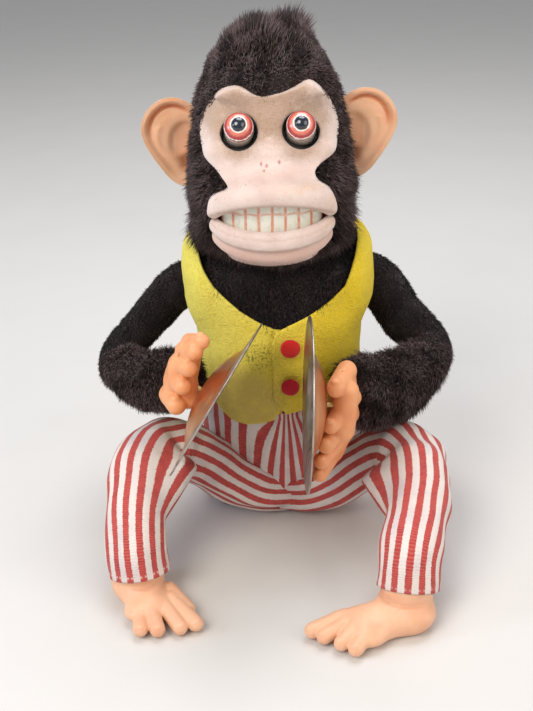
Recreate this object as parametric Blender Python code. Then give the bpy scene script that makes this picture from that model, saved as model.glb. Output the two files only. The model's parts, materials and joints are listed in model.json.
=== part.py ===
"""Seated cymbal-clapping monkey toy, battery driven, about 275 mm tall.

The toy faces -Y and sits on the XY plane. Its own right hand is on the -X side.
The origin is the centre of the battery box's flat underside. Sizes are in millimetres
and become metres when a mesh is made.
"""
import math

import bmesh
import bpy
from mathutils import Matrix, Vector

MM = 0.001
GAP = 0.3            # clearance kept between pieces that touch
SIDES = (("right", -1.0), ("left", 1.0))

# Battery box: two D cells side by side, lying along Y.
CELL_RADIUS = 16.75
CELL_LENGTH = 60.0
BOX_HALF_X = 37.5
BOX_HALF_Y = 36.5
BOX_TOP = 40.0
BOX_CORNER = 9.0
BOX_WALL = 2.2
HATCH_PIVOT = Vector((0.0, 38.4, 3.4))

# Sheet-metal case that carries the mechanism.
CASE_HALF_X = 35.0
CASE_FRONT = -36.0
CASE_BACK = 30.0
CASE_BOTTOM = BOX_TOP + GAP + 0.2
CASE_TOP = 139.0
CASE_CORNER = 10.0
TIN = 1.0
SEAM = 0.15          # half of the gap between two shells that meet at y = 0

# Gear train: axes run along X, placed by (y, z).
MOTOR_AXIS = (6.0, 60.0)
REDUCTION_AXIS = (-6.0, 76.0)
CRANK_AXIS = (-1.0, 98.45)
MOTOR_PINION = {"teeth": 10, "module": 0.8}
REDUCTION_WHEEL = {"teeth": 40, "module": 0.8}
REDUCTION_PINION = {"teeth": 10, "module": 1.0}
CRANK_WHEEL = {"teeth": 36, "module": 1.0}
PLATE_X = 20.0

# Arms: each swings about a vertical pin outside the case.
SHOULDER_X = 39.5
SHOULDER_BARREL = (121.4, 134.6)
ARM_ROD_RADIUS = 1.8
CYMBAL_RADIUS = 43.7
DOME_RADIUS = 15.5
DOME_HEIGHT = 8.8
CYMBALS = {
    "right": {"centre": Vector((-33.0, -94.0, 102.5)), "normal": Vector((0.841, -0.223, -0.494))},
    "left": {"centre": Vector((12.5, -98.0, 99.9)), "normal": Vector((-0.998, 0.0, 0.046))},
}
ARM_PATHS = {
    "right": [(-42.6, 0, 129), (-52, 0, 128), (-62, -1, 122), (-76, -4, 107), (-89, -9, 92),
              (-92, -17, 85.5), (-84, -30, 87), (-71, -47, 92), (-60, -66, 103), (-56, -74, 107)],
    "left": [(42.6, 0, 129), (52, 0, 128), (61, -1, 121), (72, -4, 105), (83, -9, 89),
             (86, -17, 83), (80, -30, 82), (66, -46, 83), (50, -62, 88), (42, -71, 93)],
}
HANDS = {
    "right": {
        "palm": ((-51.5, -83, 114), (0.46, 0.0, 0.89), 18.0, 6.0, 14.0),
        "digits": [
            ((-43, -86, 131), (-36.5, -101, 137), 3.2), ((-47, -86, 126), (-40, -102, 132), 3.8),
            ((-51, -86, 120), (-43.5, -103, 126), 4.2), ((-55, -86, 111), (-47.5, -103, 115.3), 4.6),
            ((-58, -84, 102), (-50.8, -101, 103.5), 5.0),
        ],
    },
    "left": {
        "palm": ((35.0, -84, 90), (0.16, 0.04, 0.98), 24.0, 6.0, 16.0),
        "digits": [
            ((33, -88, 113), (27.5, -102, 111), 4.6), ((35, -88, 98), (23.8, -108, 93), 3.9),
            ((34, -88, 87), (19.8, -107, 82), 3.9), ((32, -87, 77), (18.0, -105, 71), 3.6),
            ((29, -86, 68), (17.6, -102, 61), 3.2),
        ],
    },
}

# Legs and feet, by side.
LEG_PATHS = {
    "right": [(-30, -26, 28), (-48, -40, 40), (-70, -56, 57), (-76, -74, 56), (-77, -96, 42),
              (-76.5, -108, 34), (-76, -113.5, 27), (-75.5, -114.5, 20.5)],
    "left": [(30, -26, 27), (47, -40, 35), (66, -56, 44), (71, -76, 45), (68, -102, 41),
             (63, -125, 37), (59.5, -134.5, 31), (58.5, -136, 24.5)],
}
LEG_RADII = (15.0, 18.0, 19.0, 18.0, 16.0, 15.0, 14.8, 14.5)
FEET = {
    "right": {"heel": (-85, -104), "ball": (-66, -137), "ankle": (-76, -115), "lean": 0.0,
              "toes": [((-75, -134), (-72.5, -148)), ((-68.5, -136), (-64, -148.5)),
                       ((-60.5, -135), (-52.5, -147)), ((-56, -131), (-45, -145)),
                       ((-58, -122), (-50, -134))]},
    "left": {"heel": (72, -142), "ball": (31, -153), "ankle": (58.8, -137.0), "lean": 0.0,
             "toes": [((24, -146), (10.5, -152.5)), ((26, -150), (16, -157)),
                      ((30, -155), (24, -162.5)), ((36, -158), (30.5, -166.5))]},
}

# Head: modelled about its own middle plane, then shifted to where it sits on the neck.
HEAD_SHIFT = -2.8
EAR_HEIGHT = {"right": 207.5, "left": 210.0}
EYE_TILT = math.radians(32.0)
EYE_X = 15.0
EYE_FRONT = Vector((0.0, -54.0, 228.8))
EYE_RADIUS = 7.2
EYE_LENGTH = 22.0
EYE_AXIS = Vector((0.0, -math.cos(EYE_TILT), math.sin(EYE_TILT)))
LIP_SWEEP = math.radians(66.0)

# Cross-sections of the body: (z, half width, front depth, back depth, front power, back power).
SKULL = [
    (156.0, 29.0, 26.0, 24.0, 2.2, 2.2), (164.0, 34.5, 45.0, 32.0, 2.6, 2.2),
    (173.0, 36.5, 53.0, 35.0, 3.2, 2.2), (183.0, 37.5, 57.0, 36.5, 3.2, 2.2),
    (193.0, 37.5, 58.0, 37.0, 3.2, 2.2), (203.0, 37.5, 55.5, 37.5, 3.0, 2.2),
    (213.0, 36.5, 50.0, 37.5, 2.8, 2.2), (223.0, 35.0, 44.5, 37.5, 2.5, 2.2),
    (233.0, 33.0, 41.0, 36.5, 2.3, 2.2), (243.0, 29.5, 37.0, 33.0, 2.2, 2.2),
    (252.0, 23.5, 29.5, 27.0, 2.2, 2.2), (258.0, 16.0, 20.0, 19.0, 2.1, 2.1),
    (261.0, 8.0, 9.5, 9.0, 2.0, 2.0),
]
CHEST = [
    (61.6, 44.0, 44.5, 38.5, 2.8, 2.8), (76.0, 44.3, 45.6, 38.5, 2.8, 2.8),
    (92.0, 43.3, 45.2, 38.5, 2.8, 2.8), (107.0, 43.8, 44.5, 39.0, 2.8, 2.8),
    (119.0, 46.3, 43.8, 39.5, 2.8, 2.8), (133.0, 47.0, 43.2, 39.5, 2.8, 2.8),
    (142.0, 46.6, 42.8, 38.6, 2.8, 2.8), (148.5, 43.5, 36.5, 34.5, 2.6, 2.6),
    (151.0, 34.0, 27.5, 27.0, 2.3, 2.3), (151.6, 16.0, 15.0, 15.0, 2.0, 2.0),
]
SEAT = [
    (0.6, 44.0, 44.5, 43.0, 4.0, 4.0), (14.0, 46.5, 47.0, 44.0, 4.0, 4.0),
    (30.0, 47.0, 49.0, 44.5, 3.6, 4.0), (46.0, 46.0, 48.0, 44.0, 3.2, 3.4),
    (60.0, 44.5, 45.5, 40.5, 3.0, 3.0),
]
PLUSH = 2.8
FELT = 2.0
CLOTH = 1.5
RING_POINTS = 20

COLOURS = {
    "plush": ((0.055, 0.035, 0.032), 0.95, 0.0),
    "face_felt": ((0.74, 0.60, 0.53), 0.95, 0.0),
    "vinyl": ((0.80, 0.47, 0.29), 0.45, 0.0),
    "yellow_felt": ((0.78, 0.66, 0.06), 0.95, 0.0),
    "red_felt": ((0.62, 0.04, 0.04), 0.9, 0.0),
    "striped_cloth": ((0.62, 0.20, 0.17), 0.9, 0.0),
    "cymbal_metal": ((0.62, 0.58, 0.54), 0.25, 1.0),
    "eye_plastic": ((0.62, 0.12, 0.08), 0.2, 0.0),
    "teeth": ((0.78, 0.78, 0.70), 0.35, 0.0),
    "mouth_red": ((0.25, 0.02, 0.02), 0.6, 0.0),
    "tin": ((0.60, 0.61, 0.63), 0.35, 1.0),
    "steel": ((0.50, 0.50, 0.52), 0.4, 1.0),
    "brass": ((0.70, 0.52, 0.22), 0.35, 1.0),
    "white_plastic": ((0.78, 0.77, 0.72), 0.45, 0.0),
    "black_plastic": ((0.04, 0.04, 0.045), 0.5, 0.0),
    "cell_sleeve": ((0.12, 0.14, 0.17), 0.35, 0.0),
    "copper": ((0.72, 0.42, 0.25), 0.35, 1.0),
}


# ---------------------------------------------------------------- making and joining solids

def material(name):
    """Return the named Principled material, making it on first use."""
    found = bpy.data.materials.get(name)
    if found:
        return found
    colour, roughness, metallic = COLOURS[name]
    made = bpy.data.materials.new(name)
    made.use_nodes = True
    shader = made.node_tree.nodes["Principled BSDF"]
    shader.inputs["Base Color"].default_value = (*colour, 1.0)
    shader.inputs["Roughness"].default_value = roughness
    shader.inputs["Metallic"].default_value = metallic
    return made


def solid(name, points, faces, finish, smooth=True):
    """Make one closed mesh object from points in millimetres."""
    mesh = bpy.data.meshes.new(name)
    mesh.from_pydata([Vector(point) * MM for point in points], [], faces)
    edit = bmesh.new()
    edit.from_mesh(mesh)
    bmesh.ops.recalc_face_normals(edit, faces=edit.faces)
    edit.to_mesh(mesh)
    edit.free()
    if smooth:
        mesh.shade_smooth()
        mesh.set_sharp_from_angle(angle=math.radians(35))
    mesh.materials.append(material(finish))
    made = bpy.data.objects.new(name, mesh)
    bpy.context.scene.collection.objects.link(made)
    return made


def combine(target, tool, operation="DIFFERENCE"):
    """Cut, join or intersect target with tool, and remove the tool."""
    step = target.modifiers.new("combine", "BOOLEAN")
    step.operation = operation
    step.solver = "EXACT"
    step.object = tool
    graph = bpy.context.evaluated_depsgraph_get()
    graph.update()
    mesh = bpy.data.meshes.new_from_object(target.evaluated_get(graph))
    finish = target.data.materials[0]
    target.modifiers.clear()
    mesh.materials.clear()
    mesh.materials.append(finish)
    mesh.name = target.name
    target.data = mesh
    bpy.data.objects.remove(tool)
    return target


def turn_mesh(target, matrix):
    """Apply a matrix to the mesh, leaving the object's own placement alone."""
    target.data.transform(matrix)
    return target


# ---------------------------------------------------------------- basic shapes

def box(name, low, high, finish="steel"):
    """A plain block between two corners."""
    points = [(x, y, z) for x in (low[0], high[0]) for y in (low[1], high[1]) for z in (low[2], high[2])]
    faces = [(0, 1, 3, 2), (4, 6, 7, 5), (0, 4, 5, 1), (2, 3, 7, 6), (0, 2, 6, 4), (1, 5, 7, 3)]
    return solid(name, points, faces, finish, smooth=False)


def loft(name, rings, finish, smooth=True):
    """Skin a list of rings of equal length and cap both ends with a fan."""
    count = len(rings[0])
    points = [tuple(point) for ring in rings for point in ring]
    faces = []
    for level in range(len(rings) - 1):
        for k in range(count):
            nxt = (k + 1) % count
            faces.append((level * count + k, level * count + nxt,
                          (level + 1) * count + nxt, (level + 1) * count + k))
    for level in (0, len(rings) - 1):
        middle = sum((Vector(point) for point in rings[level]), Vector()) / count
        points.append(tuple(middle))
        hub = len(points) - 1
        for k in range(count):
            faces.append((level * count + k, level * count + (k + 1) % count, hub))
    return solid(name, points, faces, finish, smooth)


def sleeve(name, outer, inner, finish, closed_top=False):
    """A wall between outer and inner rings, open at the start, open or closed at the end."""
    count = len(outer[0])
    chain = list(outer) + list(reversed(inner))
    points = [tuple(point) for ring in chain for point in ring]
    faces = []
    for level in range(len(chain)):
        if closed_top and level == len(outer) - 1:
            continue
        following = (level + 1) % len(chain)
        for k in range(count):
            nxt = (k + 1) % count
            faces.append((level * count + k, level * count + nxt, following * count + nxt, following * count + k))
    if closed_top:
        for level in (len(outer) - 1, len(outer)):
            middle = sum((Vector(point) for point in chain[level]), Vector()) / count
            points.append(tuple(middle))
            hub = len(points) - 1
            for k in range(count):
                faces.append((level * count + k, level * count + (k + 1) % count, hub))
    return solid(name, points, faces, finish)


def axes_for(direction):
    """Two unit vectors square to a direction."""
    ahead = Vector(direction).normalized()
    helper = Vector((0, 0, 1)) if abs(ahead.z) < 0.9 else Vector((0, 1, 0))
    across = ahead.cross(helper).normalized()
    return across, ahead.cross(across).normalized()


def cylinder(name, start, end, radius, finish="steel", sides=20, end_radius=None):
    """A round bar or cone between two points."""
    start, end = Vector(start), Vector(end)
    across, over = axes_for(end - start)
    rings = []
    for centre, size in ((start, radius), (end, radius if end_radius is None else end_radius)):
        rings.append([centre + size * (math.cos(a) * across + math.sin(a) * over)
                      for a in (2 * math.pi * k / sides for k in range(sides))])
    return loft(name, rings, finish)


def turned(name, profile, base, direction, finish, sides=40):
    """Spin a closed profile of (radius, height) pairs about an axis from base along direction."""
    across, over = axes_for(direction)
    ahead = Vector(direction).normalized()
    points = []
    for k in range(sides):
        angle = 2 * math.pi * k / sides
        spoke = math.cos(angle) * across + math.sin(angle) * over
        points.extend(tuple(Vector(base) + radius * spoke + height * ahead) for radius, height in profile)
    size = len(profile)
    faces = []
    for k in range(sides):
        nxt = (k + 1) % sides
        for j in range(size):
            following = (j + 1) % size
            faces.append((k * size + j, nxt * size + j, nxt * size + following, k * size + following))
    return solid(name, points, faces, finish)


def plate(name, outline, low, high, finish, smooth=False):
    """Extrude a (y, z) outline along X from low to high."""
    count = len(outline)
    points = [(x, y, z) for x in (low, high) for y, z in outline]
    faces = [tuple(range(count)), tuple(range(2 * count - 1, count - 1, -1))]
    faces += [(k, (k + 1) % count, count + (k + 1) % count, count + k) for k in range(count)]
    return solid(name, points, faces, finish, smooth)


def smooth_path(points, steps=2):
    """Catmull-Rom points through the given ones."""
    given = [Vector(point) for point in points]
    padded = [2 * given[0] - given[1]] + given + [2 * given[-1] - given[-2]]
    route = []
    for k in range(1, len(padded) - 2):
        a, b, c, d = padded[k - 1:k + 3]
        for step in range(steps):
            t = step / steps
            route.append(0.5 * (2 * b + (c - a) * t + (2 * a - 5 * b + 4 * c - d) * t * t
                                + (3 * b - a - 3 * c + d) * t ** 3))
    route.append(given[-1])
    return route


def spread(values, steps):
    """Linear in-between values that match smooth_path's points."""
    out = []
    for k in range(len(values) - 1):
        out.extend(values[k] + (values[k + 1] - values[k]) * step / steps for step in range(steps))
    return out + [values[-1]]


def rings_along(route, radii, sides):
    """Round rings along a route, carried without twist."""
    across, _ = axes_for(route[1] - route[0])
    rings = []
    for k, centre in enumerate(route):
        ahead = (route[min(k + 1, len(route) - 1)] - route[max(k - 1, 0)]).normalized()
        across = (across - across.dot(ahead) * ahead).normalized()
        over = ahead.cross(across)
        rings.append([centre + radii[k] * (math.cos(a) * across + math.sin(a) * over)
                      for a in (2 * math.pi * j / sides for j in range(sides))])
    return rings


def rod(name, route, radius, finish="steel", sides=7):
    """A bent wire of one thickness."""
    return loft(name, rings_along(route, [radius] * len(route), sides), finish)


def capsule(name, start, end, radius, finish, sides=10, end_radius=None):
    """A round-ended finger between two points."""
    start, end = Vector(start), Vector(end)
    ahead = (end - start).normalized()
    last = radius if end_radius is None else end_radius
    route, radii = [], []
    for angle in (-75, -30):
        route.append(start + ahead * radius * math.sin(math.radians(angle)))
        radii.append(radius * math.cos(math.radians(angle)))
    for angle in (25, 70):
        route.append(end + ahead * last * math.sin(math.radians(angle)))
        radii.append(last * math.cos(math.radians(angle)))
    return loft(name, rings_along(route, radii, sides), finish)


def section(level, offset=0.0, lift=0.0):
    """One horizontal ring of the body, grown by offset."""
    z, half_width, front, back, front_power, back_power = level
    ring = []
    for k in range(RING_POINTS):
        angle = 2 * math.pi * k / RING_POINTS
        c, s = math.cos(angle), math.sin(angle)
        depth, power = (front, front_power) if s < 0 else (back, back_power)
        x = (half_width + offset) * math.copysign(abs(c) ** (2 / power), c)
        y = (depth + offset) * math.copysign(abs(s) ** (2 / power), s)
        ring.append((x, y, z + lift))
    return ring


def body_rings(levels, offset):
    """Rings of a body profile grown by offset, its top lifted with it."""
    top, middle = levels[-1][0], levels[len(levels) // 2][0]
    return [section(level, offset, offset * max(0.0, (level[0] - middle) / (top - middle))) for level in levels]


def body_wall(name, levels, inside, outside, finish, closed_top):
    """A wall that follows a body profile between two offsets."""
    return sleeve(name, body_rings(levels, outside), body_rings(levels, inside), finish, closed_top)


def prism_y(name, outline, low, high, finish="steel"):
    """Extrude an (x, z) outline along Y from low to high."""
    count = len(outline)
    points = [(x, y, z) for y in (low, high) for x, z in outline]
    faces = [tuple(range(count)), tuple(range(2 * count - 1, count - 1, -1))]
    faces += [(k, (k + 1) % count, count + (k + 1) % count, count + k) for k in range(count)]
    return solid(name, points, faces, finish, smooth=False)


def rounded_block(name, half_x, low_y, high_y, corner, low_z, high_z, finish):
    """A block with rounded upright edges."""
    ring = []
    middle_y = (low_y + high_y) / 2
    half_y = (high_y - low_y) / 2
    for quarter in range(4):
        cx = (half_x - corner) * (1 if quarter in (0, 3) else -1)
        cy = (half_y - corner) * (1 if quarter in (0, 1) else -1)
        for step in range(5):
            angle = math.radians(90 * quarter + 22.5 * step)
            ring.append((cx + corner * math.cos(angle), middle_y + cy + corner * math.sin(angle)))
    return loft(name, [[(x, y, z) for x, y in ring] for z in (low_z, high_z)], finish)


# ---------------------------------------------------------------- battery box

def battery_box():
    """Open-backed plastic box with hatch lugs and a tab for the power switch."""
    shell = rounded_block("battery_box", BOX_HALF_X, -BOX_HALF_Y, BOX_HALF_Y, BOX_CORNER, 0.0, BOX_TOP,
                          "black_plastic")
    combine(shell, box("tab", (-14, BOX_HALF_Y - 2.5, BOX_TOP - 5), (14, BOX_HALF_Y, BOX_TOP + 11)), "UNION")
    for x in (-33.4, 31.4):
        combine(shell, box("lug", (x, BOX_HALF_Y - 1, 1.6), (x + 2, BOX_HALF_Y + 3.6, 5.2)), "UNION")
    combine(shell, box("cavity", (-BOX_HALF_X + BOX_WALL, -BOX_HALF_Y + BOX_WALL, 2.5),
                       (BOX_HALF_X - BOX_WALL, BOX_HALF_Y + 1, BOX_TOP - BOX_WALL)))
    combine(shell, cylinder("pin_hole", HATCH_PIVOT + Vector((-34, 0, 0)), HATCH_PIVOT + Vector((34, 0, 0)), 0.95))
    combine(shell, box("switch_slot", (-5.5, 30, 43.2), (5.5, 40, 47.2)))
    # The wall in front of the tab would close the cavity's back edge, so the lip is cleared again.
    combine(shell, box("lip", (-BOX_HALF_X + BOX_WALL, BOX_HALF_Y - 3, 5.8),
                       (BOX_HALF_X - BOX_WALL, BOX_HALF_Y + 6, BOX_TOP - BOX_WALL)))
    return shell


def battery_hatch():
    """Door hinged at its lower edge, with its pin, barrel and finger ridge."""
    y = BOX_HALF_Y + GAP
    barrel = 1.6
    profile = [(y, BOX_TOP - 0.5), (y + 2.0, BOX_TOP - 0.5), (y + 2.0, 6.0)]
    for angle in (30, 0, -45, -90, -135, -180):
        t = math.radians(angle)
        profile.append((HATCH_PIVOT.y + barrel * math.cos(t), HATCH_PIVOT.z + barrel * math.sin(t)))
    door = plate("battery_hatch", profile, -30.6, 30.6, "black_plastic")
    combine(door, box("wide", (-34.6, y + 0.05, 6.2), (34.6, y + 1.95, BOX_TOP - 0.6)), "UNION")
    combine(door, cylinder("pin", HATCH_PIVOT + Vector((-33.2, 0, 0)), HATCH_PIVOT + Vector((33.2, 0, 0)),
                           0.8, sides=10), "UNION")
    combine(door, box("ridge", (-10, y + 1.5, 33.5), (10, y + 3.4, 35.5)), "UNION")
    return door


def battery(name, x, nub_forward):
    """A D cell on its side; its positive nub faces the front or the back."""
    z = 2.5 + GAP + CELL_RADIUS
    front, back = -26.3, -26.3 + CELL_LENGTH
    profile = [(0, 0), (4.7, 0), (4.7, 1.5), (15.2, 1.5), (16.2, 2.2), (CELL_RADIUS, 3.2),
               (CELL_RADIUS, CELL_LENGTH - 1.6), (16.0, CELL_LENGTH - 0.6), (12.5, CELL_LENGTH)]
    base, ahead = ((x, front, z), (0, 1, 0)) if nub_forward else ((x, back, z), (0, -1, 0))
    sides = 20
    across, over = axes_for(ahead)
    rings = []
    for radius, height in profile[1:]:
        rings.append([Vector(base) + height * Vector(ahead) + radius * (math.cos(a) * across + math.sin(a) * over)
                      for a in (2 * math.pi * k / sides for k in range(sides))])
    return loft(name, rings, "cell_sleeve")


def contacts():
    """The spring and plate at the front wall and the bridge on the hatch."""
    z = 2.5 + GAP + CELL_RADIUS
    front = -BOX_HALF_Y + BOX_WALL + GAP
    turns, per_turn = 3.5, 8
    count = int(turns * per_turn)
    route = []
    for k in range(count + 1):
        t = k / count
        radius = 7.5 - 3.2 * t
        angle = 2 * math.pi * turns * t
        route.append(Vector((17.1 + radius * math.cos(angle), front + 0.5 + 6.4 * t, z + radius * math.sin(angle))))
    rod("contact_spring", route, 0.45, "steel", 5)
    outline = [(front, z - 7), (front + 0.6, z - 7), (front + 0.6, z - 1), (front + 7.0, z - 1), (front + 7.0, z + 5),
               (front + 6.4, z + 5), (front + 6.4, z - 0.4), (front, z - 0.4)]
    plate("contact_plate", outline, -22.0, -12.2, "brass")
    bridge = box("contact_bridge", (-24, 35.3, z - 4.5), (24, 36.3, z + 4.5), "brass")
    return bridge


def power_switch():
    """Slider whose neck runs in the slot of the box's tab."""
    y = BOX_HALF_Y
    knob = box("power_switch", (-5.0, y + GAP, 42.0), (-0.6, y + 3.2, 48.4), "white_plastic")
    combine(knob, box("neck", (-4.6, y - 3.2, 43.6), (-1.0, y + 1.0, 46.8)), "UNION")
    combine(knob, box("flange", (-7.5, y - 4.4, 42.2), (1.9, y - 2.8, 48.2)), "UNION")
    return knob


# ---------------------------------------------------------------- tin case and mechanism

def half_case(name, front_half):
    """One half of the tin case, with its share of the neck hole and the arm slots."""
    shell = rounded_block(name, CASE_HALF_X, CASE_FRONT, CASE_BACK, CASE_CORNER, CASE_BOTTOM, CASE_TOP, "tin")
    combine(shell, rounded_block("hollow", CASE_HALF_X - TIN, CASE_FRONT + TIN, CASE_BACK - TIN, CASE_CORNER - TIN,
                                 CASE_BOTTOM + TIN, CASE_TOP - TIN, "tin"))
    if front_half:
        combine(shell, box("back_space", (-50, -SEAM, 30), (50, 60, 150)))
    else:
        combine(shell, box("front_space", (-50, -60, 30), (50, SEAM, 150)))
        for _, side in SIDES:
            for low in (119.0, 135.0):
                x0, x1 = sorted((side * (CASE_HALF_X + GAP), side * 43.0))
                combine(shell, box("lug", (x0, -3.2, low), (x1, 3.2, low + 2)), "UNION")
                x0, x1 = sorted((side * (CASE_HALF_X - 0.6), side * (CASE_HALF_X + 1.5)))
                combine(shell, box("root", (x0, 0.6, low), (x1, 3.2, low + 2)), "UNION")
            combine(shell, cylinder("pin_hole", (side * SHOULDER_X, 0, 115), (side * SHOULDER_X, 0, 139.5),
                                    1.66, sides=16))
    combine(shell, cylinder("neck_hole", (0, 0, CASE_TOP - 5), (0, 0, CASE_TOP + 5), 9.2))
    for _, side in SIDES:
        x0, x1 = sorted((side * 28, side * (CASE_HALF_X + 0.15)))
        combine(shell, box("arm_slot", (x0, -8, 122.5), (x1, 8, 130)))
    return shell


def gear_outline(teeth, module, phase):
    """Outline of a spur gear with involute flanks, one tooth centred on phase."""
    pitch = teeth * module / 2
    base = pitch * math.cos(math.radians(20))
    tip = pitch + 0.85 * module
    root = pitch - 1.15 * module
    half = 0.455 * math.pi / teeth

    def turn_at(radius):
        """Half tooth angle at a radius."""
        if radius <= base:
            radius = base
        lean = math.acos(min(1.0, base / radius))
        lean_pitch = math.radians(20)
        return half + (math.tan(lean_pitch) - lean_pitch) - (math.tan(lean) - lean)

    outline = []
    radii = [root, pitch, tip] if teeth < 15 else [root, tip]
    for tooth in range(teeth):
        middle = phase + 2 * math.pi * tooth / teeth
        for radius in radii:
            outline.append((radius, middle - turn_at(radius)))
        for radius in reversed(radii):
            outline.append((radius, middle + turn_at(radius)))
    return outline


def gear(name, axis, spec, phase, low, high, finish):
    """A spur gear blank with its teeth, square to X."""
    outline = [(axis[0] + radius * math.cos(angle), axis[1] + radius * math.sin(angle))
               for radius, angle in gear_outline(spec["teeth"], spec["module"], phase)]
    return plate(name, outline, low, high, finish)


def bearing(axis):
    """Angle from one shaft to the next is measured from +Y towards +Z."""
    return lambda other: math.atan2(other[1] - axis[1], other[0] - axis[0])


def gear_train():
    """Motor, pinion, reduction gear and crank gear, in mesh at rest."""
    to_reduction = bearing(MOTOR_AXIS)(REDUCTION_AXIS)
    to_crank = bearing(REDUCTION_AXIS)(CRANK_AXIS)

    motor = cylinder("motor", (-15, *MOTOR_AXIS), (8, *MOTOR_AXIS), 11.5, "steel", 28)
    combine(motor, cylinder("boss", (7, *MOTOR_AXIS), (10.4, *MOTOR_AXIS), 3.2), "UNION")
    combine(motor, cylinder("bore", (4, *MOTOR_AXIS), (12, *MOTOR_AXIS), 1.15, sides=16))

    pinion = gear("motor_pinion", MOTOR_AXIS, MOTOR_PINION, to_reduction, 12.3, 17.0, "brass")
    combine(pinion, cylinder("shaft", (4.6, *MOTOR_AXIS), (17.6, *MOTOR_AXIS), 1.0, sides=16), "UNION")

    wheel_gap = math.pi / REDUCTION_WHEEL["teeth"]
    reduction = gear("reduction_gear", REDUCTION_AXIS, REDUCTION_WHEEL, to_reduction + math.pi + wheel_gap,
                     12.8, 15.4, "white_plastic")
    combine(reduction, gear("small", REDUCTION_AXIS, REDUCTION_PINION, to_crank, 7.6, 13.0, "white_plastic"), "UNION")
    combine(reduction, cylinder("axle", (-PLATE_X - 1.4, *REDUCTION_AXIS), (PLATE_X + 1.4, *REDUCTION_AXIS),
                                1.5, sides=16), "UNION")

    crank_gap = math.pi / CRANK_WHEEL["teeth"]
    crank = gear("crank_gear", CRANK_AXIS, CRANK_WHEEL, to_crank + math.pi + crank_gap, 8.2, 11.6, "white_plastic")
    combine(crank, cylinder("axle", (-PLATE_X - 1.4, *CRANK_AXIS), (PLATE_X + 1.4, *CRANK_AXIS), 1.5, sides=16),
            "UNION")
    pin = (CRANK_AXIS[0], CRANK_AXIS[1] + 12.0)
    combine(crank, cylinder("crank_pin", (2.0, *pin), (9.0, *pin), 1.6, sides=14), "UNION")


def gear_plates():
    """Two steel plates with bearing holes, joined by three spacer posts on the right-hand one."""
    outline = [(-24, 46), (22, 46), (22, 100), (14, 120), (-16, 120), (-24, 100)]
    posts = [(-20, 50), (18, 84), (-18, 114)]
    for name, low in (("gear_plate_right", -PLATE_X - 1.0), ("gear_plate_left", PLATE_X)):
        made = plate(name, outline, low, low + 1.0, "steel")
        if low < 0:
            for post in posts:
                combine(made, cylinder("post", (low + 0.5, *post), (PLATE_X - GAP, *post), 2.0, sides=14), "UNION")
        for axis in (REDUCTION_AXIS, CRANK_AXIS):
            combine(made, cylinder("hole", (low - 2, *axis), (low + 3, *axis), 1.64, sides=16))


def drive_yoke():
    """Sliding bar whose forked ends hold the inner tails of both arms."""
    bar = box("drive_yoke", (-22, -1.5, 124.5), (22, 1.5, 127.5), "steel")
    for _, side in SIDES:
        x0, x1 = sorted((side * 20, side * 27.5))
        for y0 in (-5.2, 2.8):
            combine(bar, box("prong", (x0 if side < 0 else x0, y0, 124.5), (x1, y0 + 2.4, 127.5)), "UNION")
        x0, x1 = sorted((side * 19, side * 22.5))
        combine(bar, box("head", (x0, -5.2, 124.5), (x1, 5.2, 127.5)), "UNION")
    combine(bar, box("follower", (3.0, -1.5, 122.0), (6.0, 1.5, 125.0)), "UNION")
    return bar


def neck():
    """Bush in the case top, post with its flange, and the spring between them."""
    turned("neck_bush", [(5.2, CASE_TOP - 4), (8.8, CASE_TOP - 4), (8.8, CASE_TOP + 0.3), (12, CASE_TOP + 0.3),
                         (12, CASE_TOP + 1.2), (5.2, CASE_TOP + 1.2)], (0, 0, 0), (0, 0, 1), "brass", 24)
    post = cylinder("neck_post", (0, 0, 132), (0, 0, 159), 5.1, "steel", 24)
    combine(post, cylinder("flange", (0, 0, 158), (0, 0, 160), 18, sides=28), "UNION")
    turns, per_turn = 4, 8
    count = turns * per_turn
    low, high = CASE_TOP + 1.2 + GAP + 0.8, 158 - GAP - 0.8
    route = [Vector((9.5 * math.cos(2 * math.pi * k / per_turn), 9.5 * math.sin(2 * math.pi * k / per_turn),
                     low + (high - low) * k / count)) for k in range(count + 1)]
    rod("neck_spring", route, 0.8, "steel", 5)


# ---------------------------------------------------------------- head

def place_head(*pieces):
    """Shift finished head pieces onto the neck."""
    for piece in pieces:
        turn_mesh(piece, Matrix.Translation((HEAD_SHIFT * MM, 0, 0)))


def eye_tunnel(name, side, radius):
    """Cutter along one eye's axis."""
    tip = EYE_FRONT + Vector((side * EYE_X, 0, 0))
    return cylinder(name, tip - 24 * EYE_AXIS, tip + 16 * EYE_AXIS, radius, sides=22)


def skull():
    """Front and back halves of the hard head shell, cut at y = 0."""
    halves = []
    for name, cut_low, cut_high in (("skull_front", -SEAM, 80), ("skull_back", -100, SEAM)):
        half = body_wall(name, SKULL, -2.0, 0.0, "white_plastic", True)
        if name == "skull_front":
            combine(half, box("mouth", (-27.4, -75, 171.6), (27.3, -33, 198.4)))
            for _, side in SIDES:
                combine(half, eye_tunnel("eye_hole", side, EYE_RADIUS + 1.0))
        combine(half, box("other_half", (-60, cut_low, 140), (60, cut_high, 280)))
        halves.append(half)
    place_head(*halves)


def face_outline(grow=0.0):
    """Outline of the bare face in the XZ plane, brow notch in the middle."""
    half = [(0.0, 239.5), (8.0, 244.0), (17.0, 246.5), (26.0, 242.5), (31.0, 233.0), (31.5, 220.0),
            (28.0, 209.0), (30.5, 199.0), (34.5, 188.0), (33.5, 175.0), (25.0, 162.0), (12.0, 154.0), (0.0, 151.0)]
    middle = Vector((0.0, 200.0))
    grown = []
    for x, z in half:
        away = (Vector((x, z)) - middle).normalized()
        grown.append((x + grow * away.x, z + grow * away.y))
    return grown + [(-x, z) for x, z in reversed(grown[1:-1])]


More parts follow.
